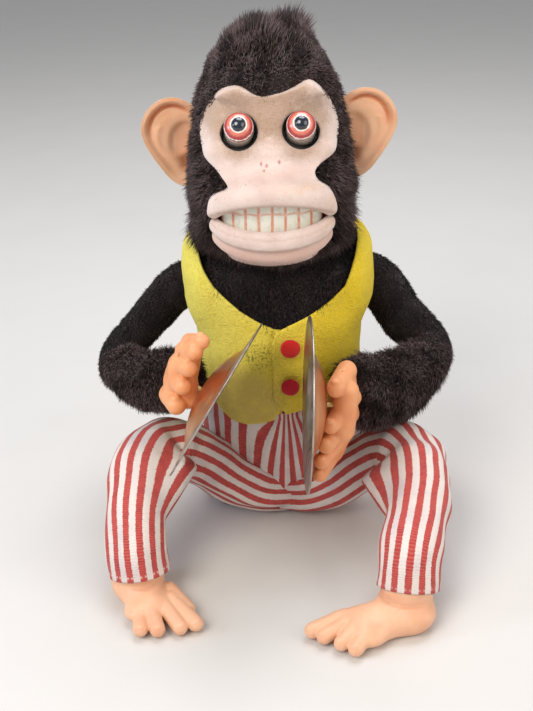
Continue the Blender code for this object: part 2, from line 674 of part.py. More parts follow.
def face_and_plush():
    """Felt mask over the face and the plush cap around it."""
    mask = body_wall("face_mask", SKULL, GAP + 0.5, GAP + 2.5, "face_felt", True)
    combine(mask, prism_y("outline", face_outline(-0.3), -110, -12), "INTERSECT")
    combine(mask, box("below", (-60, -110, 130), (60, 0, 200.2)))
    plush = body_wall("head_plush", SKULL, GAP + 0.5, GAP + PLUSH, "plush", True)
    combine(plush, prism_y("outline", face_outline(0.3), -110, -12))
    for name, side in SIDES:
        combine(mask, eye_tunnel("eye_hole", side, EYE_RADIUS + 1.3))
        x0, x1 = sorted((side * 34, side * 50))
        slit = EAR_HEIGHT[name] - 1.5
        combine(plush, box("ear_slit", (x0, -2.0, slit - 7.0), (x1, 2.0, slit + 7.0)))
    place_head(mask, plush)


def ears():
    """Soft ears: a shallow cup that faces forward, with a root tab through the plush."""
    for name, side in SIDES:
        centre = Vector((side * 54.5, -1.0, EAR_HEIGHT[name]))
        outer, inner = [], []
        for angle in (0, 35, 70):
            t = math.radians(angle)
            outer.append((math.cos(t), 9.5 * math.sin(t)))
            inner.append((0.80 * math.cos(t), 6.6 * math.sin(t) + 0.6))
        rings = []
        for scale, depth in outer + list(reversed(inner)):
            rings.append([centre + Vector((side * 12.5 * scale * math.cos(a), depth - 4.0,
                                           23.5 * scale * math.sin(a) ))
                          for a in (2 * math.pi * k / 18 for k in range(18))])
        count = 18
        points = [tuple(point) for ring in rings for point in ring]
        faces = []
        for level in range(len(rings)):
            if level == 2:
                continue
            following = (level + 1) % len(rings)
            for k in range(count):
                nxt = (k + 1) % count
                faces.append((level * count + k, level * count + nxt, following * count + nxt, following * count + k))
        for level in (2, 3):
            points.append(tuple(sum((Vector(p) for p in rings[level]), Vector()) / count))
            hub = len(points) - 1
            faces += [(level * count + k, level * count + (k + 1) % count, hub) for k in range(count)]
        ear = solid(name + "_ear", points, faces, "vinyl")
        x0, x1 = sorted((side * 38.2, side * 46.5))
        combine(ear, box("tab", (x0, -1.4, centre.z - 7.5), (x1, 1.4, centre.z + 4.5)), "UNION")
        place_head(ear)


def eyes():
    """Two eye tubes with domed fronts on a shared carriage."""
    for name, side in SIDES:
        tip = EYE_FRONT + Vector((side * EYE_X, 0, 0))
        back = tip - EYE_LENGTH * EYE_AXIS
        route = [back, tip - 5.5 * EYE_AXIS]
        radii = [EYE_RADIUS, EYE_RADIUS]
        for angle in (20, 40, 60, 80):
            t = math.radians(angle)
            route.append(tip - 5.5 * EYE_AXIS * (1 - math.sin(t)))
            radii.append(EYE_RADIUS * math.cos(t))
        eye = loft(name + "_eye", rings_along(route, radii, 24), "eye_plastic")
        place_head(eye)
    middle = EYE_FRONT - (EYE_LENGTH + 2.0) * EYE_AXIS
    carriage = box("eye_carriage", (-23, -1.5, -5), (23, 1.5, 5), "white_plastic")
    combine(carriage, box("stem", (-2.5, 0.0, -2.5), (2.5, 14.0, 2.5)), "UNION")
    turn_mesh(carriage, Matrix.Translation(middle * MM) @ Matrix.Rotation(-EYE_TILT, 4, "X"))
    place_head(carriage)


def lip_station(angle, radius_x, radius_y, centre_y):
    """A point on the mouth's arc and the outward direction there."""
    point = Vector((radius_x * math.sin(angle), centre_y - radius_y * math.cos(angle), 0))
    out = Vector((math.sin(angle) / radius_x, -math.cos(angle) / radius_y, 0)).normalized()
    return point, out


def lips_and_teeth():
    """Both lips, the curved teeth plate and the red liner behind it."""
    low_cos = math.cos(LIP_SWEEP)
    steps = 14
    upper, lower = [], []
    for k in range(steps + 1):
        angle = LIP_SWEEP * (2 * k / steps - 1)
        rise = (math.cos(angle) - low_cos) / (1 - low_cos)
        point, out = lip_station(angle, 34, 21, -44)
        size = 0.45 + 0.55 * min(1.0, 2.2 * rise)
        middle = point + Vector((0, 0, 186.5 + 7.0 * rise))
        upper.append([middle + 3.2 * size * math.cos(a) * out + Vector((0, 0, 5.0 * size * math.sin(a)))
                      for a in (2 * math.pi * j / 12 for j in range(12))])
        point, out = lip_station(angle, 33, 20, -42)
        size = 0.30 + 0.70 * min(1.0, 1.6 * rise)
        middle = point + Vector((0, 0, 176.5 - 5.0 * rise))
        profile = [(0.5, 4.0), (3.4, 1.5), (3.4, -2.0), (1.4, -5.0), (0.8, -9.0), (-4.5, -15.0), (-13.0, -20.0),
                   (-14.0, -17.0), (-8.0, -12.5), (-3.0, -7.0), (-2.5, 0.0), (-1.5, 3.2)]
        lower.append([middle + size * a * out + Vector((0, 0, size * b)) for a, b in profile])
    place_head(loft("upper_lip", upper, "face_felt"), loft("lower_lip", lower, "face_felt"))

    plate_sweep = math.asin(25.0 / 29.0)
    outer = [lip_station(plate_sweep * (2 * k / 16 - 1), 29, 15.5, -42)[0] for k in range(17)]
    points = [(p.x, p.y + shift, z) for shift in (0.0, 1.2) for z in (174.2, 196.0) for p in outer]
    faces = []
    for k in range(16):
        faces += [(k, k + 1, 18 + k, 17 + k), (34 + k, 51 + k, 52 + k, 35 + k),
                  (k, 34 + k, 35 + k, k + 1), (17 + k, 18 + k, 52 + k, 51 + k)]
    faces += [(0, 17, 51, 34), (16, 50, 67, 33)]
    teeth = solid("teeth_plate", points, faces, "teeth")
    liner = box("mouth_liner", (-26.4, -46.0, 172.0), (26.4, -36.0, 198.0), "mouth_red")
    combine(liner, box("hollow", (-25.4, -60, 173.0), (25.4, -37.2, 197.0)))
    place_head(teeth, liner)


# ---------------------------------------------------------------- arms, hands and cymbals

def shoulder_pins():
    """Vertical pins that both arm levers turn on."""
    for name, side in SIDES:
        pin = cylinder(name + "_shoulder_pin", (side * SHOULDER_X, 0, 118), (side * SHOULDER_X, 0, 138.2), 1.5,
                       "steel", 16)
        combine(pin, cylinder("head", (side * SHOULDER_X, 0, 137.3), (side * SHOULDER_X, 0, 138.6), 2.6, sides=16),
                "UNION")


def arm(name, side):
    """Lever with its barrel, tail and rod, the two sleeves, the hand, the cymbal and its rivet."""
    route = smooth_path(ARM_PATHS[name])
    low, high = SHOULDER_BARREL
    x = side * SHOULDER_X
    lever = cylinder(name + "_arm_lever", (x, 0, low), (x, 0, high), 3.9, "steel", 20)
    combine(lever, rod("rod", route, ARM_ROD_RADIUS), "UNION")
    combine(lever, cylinder("tail", (x, 0, 126), (side * 24.4, 0, 126), 1.5, sides=12), "UNION")
    combine(lever, cylinder("bore", (x, 0, low - 2), (x, 0, high + 2), 1.62, sides=16))

    upper_radii = spread([6.0, 9.0, 10.5, 10.5, 7.0], 2)
    fore_radii = spread([10.0, 14.5, 16.5, 15.0], 2)
    for label, part_route, radii in (("_upper_sleeve", route[3:11], upper_radii[1:]),
                                     ("_forearm_sleeve", route[12:17], fore_radii[:5])):
        rings = [rings_along(part_route, size, 12) for size in (radii, [3.1] * len(radii))]
        sleeve(name + label, rings[0], rings[1], "plush")

    hand(name, route)
    cymbal(name)


def hand(name, route):
    """Soft hand: a flattened palm with stubby digits, bored for the arm rod and the rivet."""
    spec = HANDS[name]
    centre, along, long_half, thick_half, deep_half = spec["palm"]
    centre, along = Vector(centre), Vector(along).normalized()
    normal = CYMBALS[name]["normal"].normalized()
    normal = (normal - normal.dot(along) * along).normalized()
    third = along.cross(normal)
    rings = []
    for angle in (-78, -52, -26, 0, 26, 52, 78):
        t = math.radians(angle)
        rings.append([centre + along * long_half * math.sin(t)
                      + math.cos(t) ** 0.7 * (thick_half * math.cos(a) * normal + deep_half * math.sin(a) * third)
                      for a in (2 * math.pi * k / 12 for k in range(12))])
    palm = loft(name + "_hand", rings, "vinyl")
    for base, tip, radius in spec["digits"]:
        combine(palm, capsule("digit", base, tip, radius * 0.95, "vinyl", 7, radius), "UNION")
    ahead = (route[-1] - route[-3]).normalized()
    wrist = route[-1] - 2.0 * ahead
    combine(palm, cylinder("wrist", wrist, centre + 2.0 * ahead, 8.5, "vinyl", 18, 9.0), "UNION")
    combine(palm, cylinder("rod_hole", wrist - 8 * ahead, route[-1] + 1.0 * ahead, 2.3, sides=12))
    spec = CYMBALS[name]
    axis = -spec["normal"].normalized()
    combine(palm, cylinder("rivet_hole", spec["centre"], spec["centre"] + 20.5 * axis, 1.75, sides=14))
    dome = spec["centre"] + (DOME_HEIGHT + 0.4) * axis
    combine(palm, cylinder("dome_space", dome - 12 * axis, dome, DOME_RADIUS + 1.0, sides=28))
    return palm


def cymbal(name):
    """Thin turned dish with a central dome, and the rivet it spins on."""
    spec = CYMBALS[name]
    axis = -spec["normal"].normalized()
    outer = [(CYMBAL_RADIUS, 0.0), (DOME_RADIUS + 0.8, 2.5), (DOME_RADIUS - 1.5, 5.2), (10.5, 8.0), (1.75, DOME_HEIGHT)]
    thin = 0.8
    inner = [(radius if radius > 2 else 1.75, height - thin) for radius, height in reversed(outer)]
    turned(name + "_cymbal", outer + inner, spec["centre"], axis, "cymbal_metal", 30)
    rivet = cylinder(name + "_cymbal_rivet", spec["centre"] + (DOME_HEIGHT - 2.6) * axis,
                     spec["centre"] + (DOME_HEIGHT - 1.4) * axis, 3.6, "brass", 20)
    combine(rivet, cylinder("shank", spec["centre"] + (DOME_HEIGHT - 2.0) * axis,
                            spec["centre"] + 20.0 * axis, 1.5, sides=14), "UNION")


# ---------------------------------------------------------------- clothes and body

def chest_plush():
    """Stuffed plush body around the case, open below, with arm and neck holes."""
    chest = body_wall("chest_plush", CHEST, -1.8, 0.0, "plush", False)
    for _, side in SIDES:
        x0, x1 = sorted((side * 38, side * 56))
        combine(chest, box("arm_hole", (x0, -9, 121), (x1, 9, 141)))


def vest():
    """Felt vest in three panels: back, right front and left front, with two buttons."""
    panels = (("vest_back", None), ("vest_right_front", (-60, -5.2)), ("vest_left_front", (-4.8, 60)))
    for name, span in panels:
        panel = body_wall(name, CHEST, GAP + 0.4, GAP + FELT, "yellow_felt", False)
        if span is None:
            combine(panel, box("front", (-70, -80, 40), (70, 2.2, 170)))
        else:
            combine(panel, box("rear", (-70, 1.8, 40), (70, 80, 170)))
            if span[0] > -50:
                combine(panel, box("other_side", (-70, -80, 40), (span[0], 80, 170)))
            else:
                combine(panel, box("other_side", (span[1], -80, 40), (70, 80, 170)))
            scoop = [(-43, 175), (-41, 148), (-33, 132), (-20, 122), (-6, 118), (8, 121), (22, 131), (34, 147),
                     (37, 175)]
            combine(panel, prism_y("neckline", scoop, -90, -10))
        combine(panel, box("neck", (-38, -24, 146), (38, 33, 170)))
        for _, side in SIDES:
            x0, x1 = sorted((side * 38, side * 60))
            combine(panel, box("armhole", (x0, -13, 116), (x1, 13, 146)))
    for name, z in (("upper_button", 107.5), ("lower_button", 85.5)):
        depth = 44.7 if z > 100 else 45.6
        y = -(depth + GAP + FELT)
        cylinder(name, (5.0, y - 2.4, z), (5.0, y - 0.2, z), 4.8, "red_felt", 24)


def leg_solid(name, side_name, shrink):
    """Solid that fills one trouser leg, for cutting and for the wall."""
    route = smooth_path(LEG_PATHS[side_name])
    radii = [radius - shrink for radius in spread(LEG_RADII, 2)]
    return loft(name, rings_along(route, radii, 14), "striped_cloth")


def trousers():
    """Seat and two legs of the striped trousers."""
    seat = body_wall("trouser_seat", SEAT, -CLOTH, 0.0, "striped_cloth", False)
    combine(seat, box("hatch_way", (-37, 25, -5), (37, 60, 53)))
    for name, side in SIDES:
        combine(seat, leg_solid("leg_way", name, CLOTH + 0.6))
        route = smooth_path(LEG_PATHS[name])
        radii = spread(LEG_RADII, 2)
        outer = rings_along(route, radii, 14)
        inner = rings_along(route, [radius - CLOTH for radius in radii], 14)
        leg = sleeve(name + "_trouser_leg", outer, inner, "striped_cloth")
        combine(leg, loft("seat_space", body_rings([(-8.0, *SEAT[0][1:])] + SEAT[1:-1] + [(80.0, *SEAT[-1][1:])],
                                                   GAP), "striped_cloth"))


def leg_wires():
    """Bent wires that carry the feet."""
    for name, side in SIDES:
        ankle = FEET[name]["ankle"]
        path = [(side * (BOX_HALF_X + 1.6), -22, 22), (side * 46, -34, 33)] + LEG_PATHS[name][2:6]
        path += [(*ankle, 28.0), (*ankle, 20.0), (*ankle, 12.0)]
        rod(name + "_leg_wire", smooth_path(path), 1.6, "steel", 6)


def feet():
    """Soft feet with separate toes and an ankle stub that goes up inside the hem."""
    for name, _ in SIDES:
        spec = FEET[name]
        heel, ball = Vector((*spec["heel"], 0)), Vector((*spec["ball"], 0))
        ahead = (ball - heel).normalized()
        across = Vector((-ahead.y, ahead.x, 0))
        length = (ball - heel).length
        rings = []
        for share, half, height in ((-0.02, 3.5, 7.0), (0.05, 8.5, 14.0), (0.2, 11.0, 18.5), (0.45, 12.0, 18.0),
                                    (0.7, 13.5, 13.5), (0.95, 14.0, 9.5), (1.1, 12.0, 7.5)):
            centre = heel + ahead * length * share
            rings.append([centre + across * half * math.copysign(abs(math.cos(a)) ** 0.8, math.cos(a))
                          + Vector((0, 0, 0.4 + height * (0.5 + 0.5 * math.copysign(abs(math.sin(a)) ** 0.8,
                                                                                   math.sin(a)))))
                          for a in (2 * math.pi * k / 12 for k in range(12))])
        foot = loft(name + "_foot", rings, "vinyl")
        ankle = spec["ankle"]
        top = LEG_PATHS[name][-1][2] + 3.0
        combine(foot, cylinder("stub", (*ankle, 8), (*ankle, top), 10.5, "vinyl", 18, 9.5), "UNION")
        for base, tip in spec["toes"]:
            combine(foot, capsule("toe", (*base, 5.0), (*tip, 4.5), 4.4, "vinyl", 7, 4.0), "UNION")
        combine(foot, cylinder("wire_hole", (*ankle, 10), (*ankle, 40), 3.0, sides=12))


def main():
    for old in list(bpy.data.objects):
        bpy.data.objects.remove(old)
    battery_box()
    battery_hatch()
    battery("right_battery", -17.1, True)
    battery("left_battery", 17.1, False)
    contacts()
    power_switch()
    half_case("case_front", True)
    half_case("case_back", False)
    gear_train()
    gear_plates()
    drive_yoke()
    neck()
    skull()
    face_and_plush()
    ears()
    eyes()
    lips_and_teeth()
    shoulder_pins()
    for name, side in SIDES:
        arm(name, side)
    chest_plush()
    vest()
    trousers()
    leg_wires()
    feet()


main()
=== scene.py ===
"""Looks of the seated cymbal-clapping monkey toy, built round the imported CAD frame.

Sizes in this script are millimetres in the row frame (the toy faces -Y, +Z is up and its own
right hand is on the -X side) and become metres when a mesh is made.
"""
import json
import math

import bpy
import numpy as np
from mathutils import Matrix, Vector

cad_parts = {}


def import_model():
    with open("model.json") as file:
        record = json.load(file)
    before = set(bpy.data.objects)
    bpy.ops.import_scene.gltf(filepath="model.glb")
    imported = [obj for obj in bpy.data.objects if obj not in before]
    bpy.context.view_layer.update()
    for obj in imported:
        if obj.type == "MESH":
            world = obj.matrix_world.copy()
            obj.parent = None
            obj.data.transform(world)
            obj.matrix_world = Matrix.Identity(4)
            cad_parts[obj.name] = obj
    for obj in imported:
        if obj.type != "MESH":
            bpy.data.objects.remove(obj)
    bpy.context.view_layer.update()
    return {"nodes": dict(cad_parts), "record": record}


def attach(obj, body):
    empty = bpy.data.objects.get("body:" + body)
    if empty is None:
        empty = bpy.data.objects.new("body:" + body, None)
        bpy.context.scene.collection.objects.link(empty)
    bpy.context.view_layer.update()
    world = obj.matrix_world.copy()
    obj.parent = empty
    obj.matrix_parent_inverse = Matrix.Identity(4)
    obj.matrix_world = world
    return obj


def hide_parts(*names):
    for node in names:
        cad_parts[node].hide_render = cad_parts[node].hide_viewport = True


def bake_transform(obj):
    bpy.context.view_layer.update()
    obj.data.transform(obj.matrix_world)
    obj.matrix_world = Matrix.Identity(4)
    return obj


MM = 0.001
SIDES = (("right", -1.0), ("left", 1.0))
HEAD_SHIFT = np.array((-2.8, 0.0, 0.0))
EAR_HEIGHT = {"right": 207.5, "left": 210.0}
EYE_TILT = math.radians(32.0)
EYE_AXIS = np.array((0.0, -math.cos(EYE_TILT), math.sin(EYE_TILT)))
EYE_TIPS = {name: np.array((side * 15.0, -54.0, 228.8)) for name, side in SIDES}
EYE_RADIUS = 7.2
EYE_LENGTH = 22.0

# Camera: its place in metres, downward pitch, roll, and focal length as a multiple of the frame height.
CAMERA_PLACE = Vector((-0.0075, -0.556, 0.355))
CAMERA_PITCH = math.radians(26.4)
CAMERA_ROLL = math.radians(1.6)
CAMERA_FOCAL = 1.5007

# Cross-sections of the head and chest: (z, half width, front depth, back depth, front power, back power).
SKULL = np.array([
    (156.0, 29.0, 26.0, 24.0, 2.2, 2.2), (164.0, 34.5, 45.0, 32.0, 2.6, 2.2),
    (173.0, 36.5, 53.0, 35.0, 3.2, 2.2), (183.0, 37.5, 57.0, 36.5, 3.2, 2.2),
    (193.0, 37.5, 58.0, 37.0, 3.2, 2.2), (203.0, 37.5, 55.5, 37.5, 3.0, 2.2),
    (213.0, 36.5, 50.0, 37.5, 2.8, 2.2), (223.0, 35.0, 44.5, 37.5, 2.5, 2.2),
    (233.0, 33.0, 41.0, 36.5, 2.3, 2.2), (243.0, 29.5, 37.0, 33.0, 2.2, 2.2),
    (252.0, 23.5, 29.5, 27.0, 2.2, 2.2), (258.0, 16.0, 20.0, 19.0, 2.1, 2.1),
    (261.0, 8.0, 9.5, 9.0, 2.0, 2.0),
])
CHEST = np.array([
    (61.6, 44.0, 44.5, 38.5, 2.8, 2.8), (76.0, 44.3, 45.6, 38.5, 2.8, 2.8),
    (92.0, 43.3, 45.2, 38.5, 2.8, 2.8), (107.0, 43.8, 44.5, 39.0, 2.8, 2.8),
    (119.0, 46.3, 43.8, 39.5, 2.8, 2.8), (133.0, 47.0, 43.2, 39.5, 2.8, 2.8),
    (142.0, 46.6, 42.8, 38.6, 2.8, 2.8), (148.5, 43.5, 36.5, 34.5, 2.6, 2.6),
    (151.0, 34.0, 27.5, 27.0, 2.3, 2.3), (151.6, 16.0, 15.0, 15.0, 2.0, 2.0),
])
SEAT = np.array([
    (0.6, 44.0, 44.5, 43.0, 4.0, 4.0), (14.0, 46.5, 47.0, 44.0, 4.0, 4.0),
    (30.0, 47.0, 49.0, 44.5, 3.6, 4.0), (46.0, 46.0, 48.0, 44.0, 3.2, 3.4),
    (60.0, 44.5, 45.5, 40.5, 3.0, 3.0),
])


# ---------------------------------------------------------------- materials

class Look:
    """A Principled material with a few short ways to wire procedural detail into it."""

    def __init__(self, name, colour, roughness, metallic=0.0, **sockets):
        self.material = bpy.data.materials.new(name)
        self.material.use_nodes = True
        self.tree = self.material.node_tree
        self.shader = self.tree.nodes["Principled BSDF"]
        self.set("Base Color", (*colour, 1.0))
        self.set("Roughness", roughness)
        self.set("Metallic", metallic)
        for socket, value in sockets.items():
            self.set(socket.replace("_", " "), value)
        self.coordinates = self.tree.nodes.new("ShaderNodeTexCoord").outputs["Object"]

    def set(self, socket, value):
        self.shader.inputs[socket].default_value = value

    def link(self, source, target):
        self.tree.links.new(source, target)

    def feed(self, socket, value):
        """Put a constant or another node's output into a socket."""
        if isinstance(value, bpy.types.NodeSocket):
            self.link(value, socket)
        elif isinstance(value, (tuple, list)) and len(value) == 3 and socket.type == "RGBA":
            socket.default_value = (*value, 1.0)
        else:
            socket.default_value = value

    def noise(self, size, detail=3.0, stretch=(1, 1, 1), distortion=0.0):
        """Noise whose features are about size millimetres, from 0 to 1."""
        mapping = self.tree.nodes.new("ShaderNodeMapping")
        mapping.inputs["Scale"].default_value = stretch
        self.link(self.coordinates, mapping.inputs["Vector"])
        node = self.tree.nodes.new("ShaderNodeTexNoise")
        node.inputs["Scale"].default_value = 1000.0 / size
        node.inputs["Detail"].default_value = detail
        node.inputs["Distortion"].default_value = distortion
        self.link(mapping.outputs["Vector"], node.inputs["Vector"])
        return node.outputs["Fac"]

    def cells(self, size, stretch=(1, 1, 1)):
        """Distance to the nearest cell centre, for pills and grains of about size millimetres."""
        mapping = self.tree.nodes.new("ShaderNodeMapping")
        mapping.inputs["Scale"].default_value = stretch
        self.link(self.coordinates, mapping.inputs["Vector"])
        node = self.tree.nodes.new("ShaderNodeTexVoronoi")
        node.inputs["Scale"].default_value = 1000.0 / size
        self.link(mapping.outputs["Vector"], node.inputs["Vector"])
        return node.outputs["Distance"]

    def attribute(self, name):
        """A float that the mesh carries on its points."""
        node = self.tree.nodes.new("ShaderNodeAttribute")
        node.attribute_name = name
        return node.outputs["Fac"]

    def maths(self, operation, first, second=0.0, third=0.0):
        node = self.tree.nodes.new("ShaderNodeMath")
        node.operation = operation
        for socket, value in zip(node.inputs, (first, second, third)):
            self.feed(socket, value)
        return node.outputs[0]

    def step(self, value, low, high):
        """0 below low and 1 above high, smooth between."""
        node = self.tree.nodes.new("ShaderNodeMapRange")
        node.interpolation_type = "SMOOTHSTEP"
        self.feed(node.inputs["Value"], value)
        node.inputs["From Min"].default_value = low
        node.inputs["From Max"].default_value = high
        return node.outputs["Result"]

    def near(self, centre, radius, soft):
        """1 within radius millimetres of a point, fading over soft millimetres."""
        node = self.tree.nodes.new("ShaderNodeVectorMath")
        node.operation = "DISTANCE"
        self.link(self.coordinates, node.inputs[0])
        node.inputs[1].default_value = tuple(c * MM for c in centre)
        return self.maths("SUBTRACT", 1.0, self.step(node.outputs["Value"], radius * MM, (radius + soft) * MM))

    def axis(self, name):
        """One coordinate in metres."""
        node = self.tree.nodes.new("ShaderNodeSeparateXYZ")
        self.link(self.coordinates, node.inputs[0])
        return node.outputs[name]

    def blend(self, first, second, factor):
        """Mix two colours."""
        node = self.tree.nodes.new("ShaderNodeMix")
        node.data_type = "RGBA"
        self.feed(node.inputs[0], factor)
        self.feed(node.inputs[6], first)
        self.feed(node.inputs[7], second)
        return node.outputs[2]

    def ramp(self, factor, stops, interpolation="LINEAR"):
        """Colour ramp from (position, colour) stops."""
        node = self.tree.nodes.new("ShaderNodeValToRGB")
        node.color_ramp.interpolation = interpolation
        elements = node.color_ramp.elements
        while len(elements) < len(stops):
            elements.new(0.5)
        for element, (position, colour) in zip(elements, stops):
            element.position = position
            element.color = (*colour, 1.0)
        self.feed(node.inputs["Fac"], factor)
        return node.outputs["Color"]

    def colour(self, value):
        self.feed(self.shader.inputs["Base Color"], value)
        return self

    def rough(self, value):
        self.feed(self.shader.inputs["Roughness"], value)
        return self

    def bump(self, height, depth, strength=1.0):
        """Raise the surface by depth millimetres where height is 1. Several bumps chain."""
        node = self.tree.nodes.new("ShaderNodeBump")
        node.inputs["Strength"].default_value = strength
        node.inputs["Distance"].default_value = depth * MM
        self.feed(node.inputs["Height"], height)
        socket = self.shader.inputs["Normal"]
        if socket.is_linked:
            self.link(socket.links[0].from_socket, node.inputs["Normal"])
        self.link(node.outputs["Normal"], socket)
        return self


def vinyl(name, base, shade, cheek):
    """Soft satin vinyl: uneven tint, a warmer colour in patches and fine pores."""
    look = Look(name, base, 0.42, Subsurface_Weight=0.22, Subsurface_Scale=0.004,
                Subsurface_Radius=(1.0, 0.35, 0.18), Specular_IOR_Level=0.42)
    tint = look.blend(base, shade, look.step(look.noise(14.0), 0.42, 0.72))
    tint = look.blend(tint, cheek, look.step(look.noise(6.0, 2.0), 0.60, 0.80))
    look.colour(tint)
    look.rough(look.maths("MULTIPLY_ADD", look.noise(5.0), 0.22, 0.33))
    look.bump(look.noise(0.45, 2.0), 0.03)
    return look.bump(look.noise(3.5, 2.0), 0.12)


def undercoat(name, colour, lighter):
    """Woven backing of plush, seen only between the fibres."""
    look = Look(name, colour, 0.95, Sheen_Weight=0.25)
    look.colour(look.blend(colour, lighter, look.step(look.noise(1.2, 4.0), 0.45, 0.8)))
    return look.bump(look.noise(0.6, 3.0), 0.4)


def fibre(name, colour, roughness):
    """Plush fibre. Its colour is constant, so the pile stays light; its surface is procedural."""
    look = Look(name, colour, roughness, Specular_IOR_Level=0.28)
    look.bump(look.noise(0.4, 2.0), 0.05)
    return look.material


def metal(name, colour, roughness, grain=1.0, stretch=(1, 1, 1)):
    """Plain metal with drawn grain, for the mechanism."""
    look = Look(name, colour, roughness, metallic=1.0)
    look.rough(look.maths("MULTIPLY_ADD", look.noise(grain, 4.0, stretch), 0.25, roughness - 0.1))
    return look.bump(look.noise(grain * 0.5, 3.0, stretch), 0.02).material


def moulded(name, colour, roughness):
    """Moulded plastic with a faint texture."""
    look = Look(name, colour, roughness)
    look.rough(look.maths("MULTIPLY_ADD", look.noise(2.0, 3.0), 0.18, roughness - 0.08))
    return look.bump(look.noise(0.5, 2.0), 0.03).material


# ---------------------------------------------------------------- meshes

def piece(name, points, faces, look, body, replaces=(), smooth=True, values=None, slots=None):
    """Make a mesh piece from points in millimetres and let it ride on a CAD body."""
    mesh = bpy.data.meshes.new(name)
    points = np.asarray(points, float)
    mesh.from_pydata((points * MM).tolist(), [], faces.tolist() if hasattr(faces, "tolist") else faces)
    mesh.update()
    for material in look if isinstance(look, (list, tuple)) else [look]:
        mesh.materials.append(material)
    if slots is not None:
        mesh.polygons.foreach_set("material_index", np.asarray(slots, np.int32))
    if smooth:
        mesh.shade_smooth()
    for key, data in (values or {}).items():
        attribute = mesh.attributes.new(key, "FLOAT", "POINT")
        attribute.data.foreach_set("value", np.asarray(data, np.float32))
    made = bpy.data.objects.new(name, mesh)
    bpy.context.scene.collection.objects.link(made)
    if body:
        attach(made, body)
    if replaces:
        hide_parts(*replaces)
    return made


def on_neck(points):
    """Points of the head shifted to where it sits on the neck."""
    return np.asarray(points, float) + HEAD_SHIFT


def grid_faces(rows, columns, closed=False, flip=False):
    """Quads of a grid of points stored row by row."""
    wide = columns if closed else columns - 1
    r, c = np.meshgrid(np.arange(rows - 1), np.arange(wide), indexing="ij")
    n = (c + 1) % columns
    quads = np.stack([r * columns + c, r * columns + n, (r + 1) * columns + n, (r + 1) * columns + c], -1)
    quads = quads.reshape(-1, 4)
    return quads[:, ::-1] if flip else quads


def unit(vectors):
    vectors = np.asarray(vectors, float)
    return vectors / np.maximum(np.linalg.norm(vectors, axis=-1, keepdims=True), 1e-9)


def curve(points, count, closed=False):
    """Catmull-Rom points through the given ones, evenly spaced in parameter."""
    given = np.asarray(points, float)
    if closed:
        padded = np.vstack([given[-1:], given, given[:2]])
        spans = len(given)
    else:
        padded = np.vstack([2 * given[0] - given[1], given, 2 * given[-1] - given[-2]])
        spans = len(given) - 1
    places = np.linspace(0, spans, count, endpoint=not closed)
    k = np.minimum(places.astype(int), spans - 1)
    t = (places - k)[:, None]
    a, b, c, d = padded[k], padded[k + 1], padded[k + 2], padded[k + 3]
    return 0.5 * (2 * b + (c - a) * t + (2 * a - 5 * b + 4 * c - d) * t * t + (3 * b - a - 3 * c + d) * t ** 3)


def frames_along(route, start_up=(0, 0, 1)):
    """Tangent, side and up vectors along a route, carried without twist."""
    ahead = unit(np.gradient(route, axis=0))
    up = np.array(start_up, float)
    sides, ups = [], []
    for tangent in ahead:
        up = up - up.dot(tangent) * tangent
        up = up / np.linalg.norm(up)
        ups.append(up)
        sides.append(np.cross(tangent, up))
    return ahead, np.array(sides), np.array(ups)


def smooth_noise(points, size, seed):
    """Cheap smooth noise from -1 to 1 out of a few plane waves of about size millimetres."""
    rng = np.random.default_rng(seed)
    total = np.zeros(np.asarray(points).shape[:-1])
    for _ in range(7):
        way = unit(rng.normal(size=3)) * rng.uniform(0.6, 1.5) * math.pi / size
        total += np.sin(points @ way + rng.uniform(0, 2 * math.pi))
    return total / 3.2


def body_shape(levels, z):
    """Half width, front, back and both powers of a body profile at heights z."""
    rows = [np.interp(z, levels[:, 0], levels[:, k]) for k in range(1, 6)]
    return rows


def smooth_levels(levels, count):
    """The same profile with many more rows on a smooth curve."""
    return curve(levels, count)


def ring_point(level, angle, offset):
    """Point of a body section at an angle, grown by offset."""
    z, wide, front, back, front_power, back_power = level
    c, s = np.cos(angle), np.sin(angle)
    depth = np.where(s < 0, front, back)
    power = np.where(s < 0, front_power, back_power)
    x = (wide + offset) * np.sign(c) * np.abs(c) ** (2 / power)
    y = (depth + offset) * np.sign(s) * np.abs(s) ** (2 / power)
    return np.stack([x, y, np.full_like(x, z)], -1)


# ---------------------------------------------------------------- distance fields

def field_box(low, high, step):
    """Sample places of a distance field as three arrays."""
    axes = [np.arange(a, b + step, step, dtype=np.float32) for a, b in zip(low, high)]
    return np.meshgrid(*axes, indexing="ij")


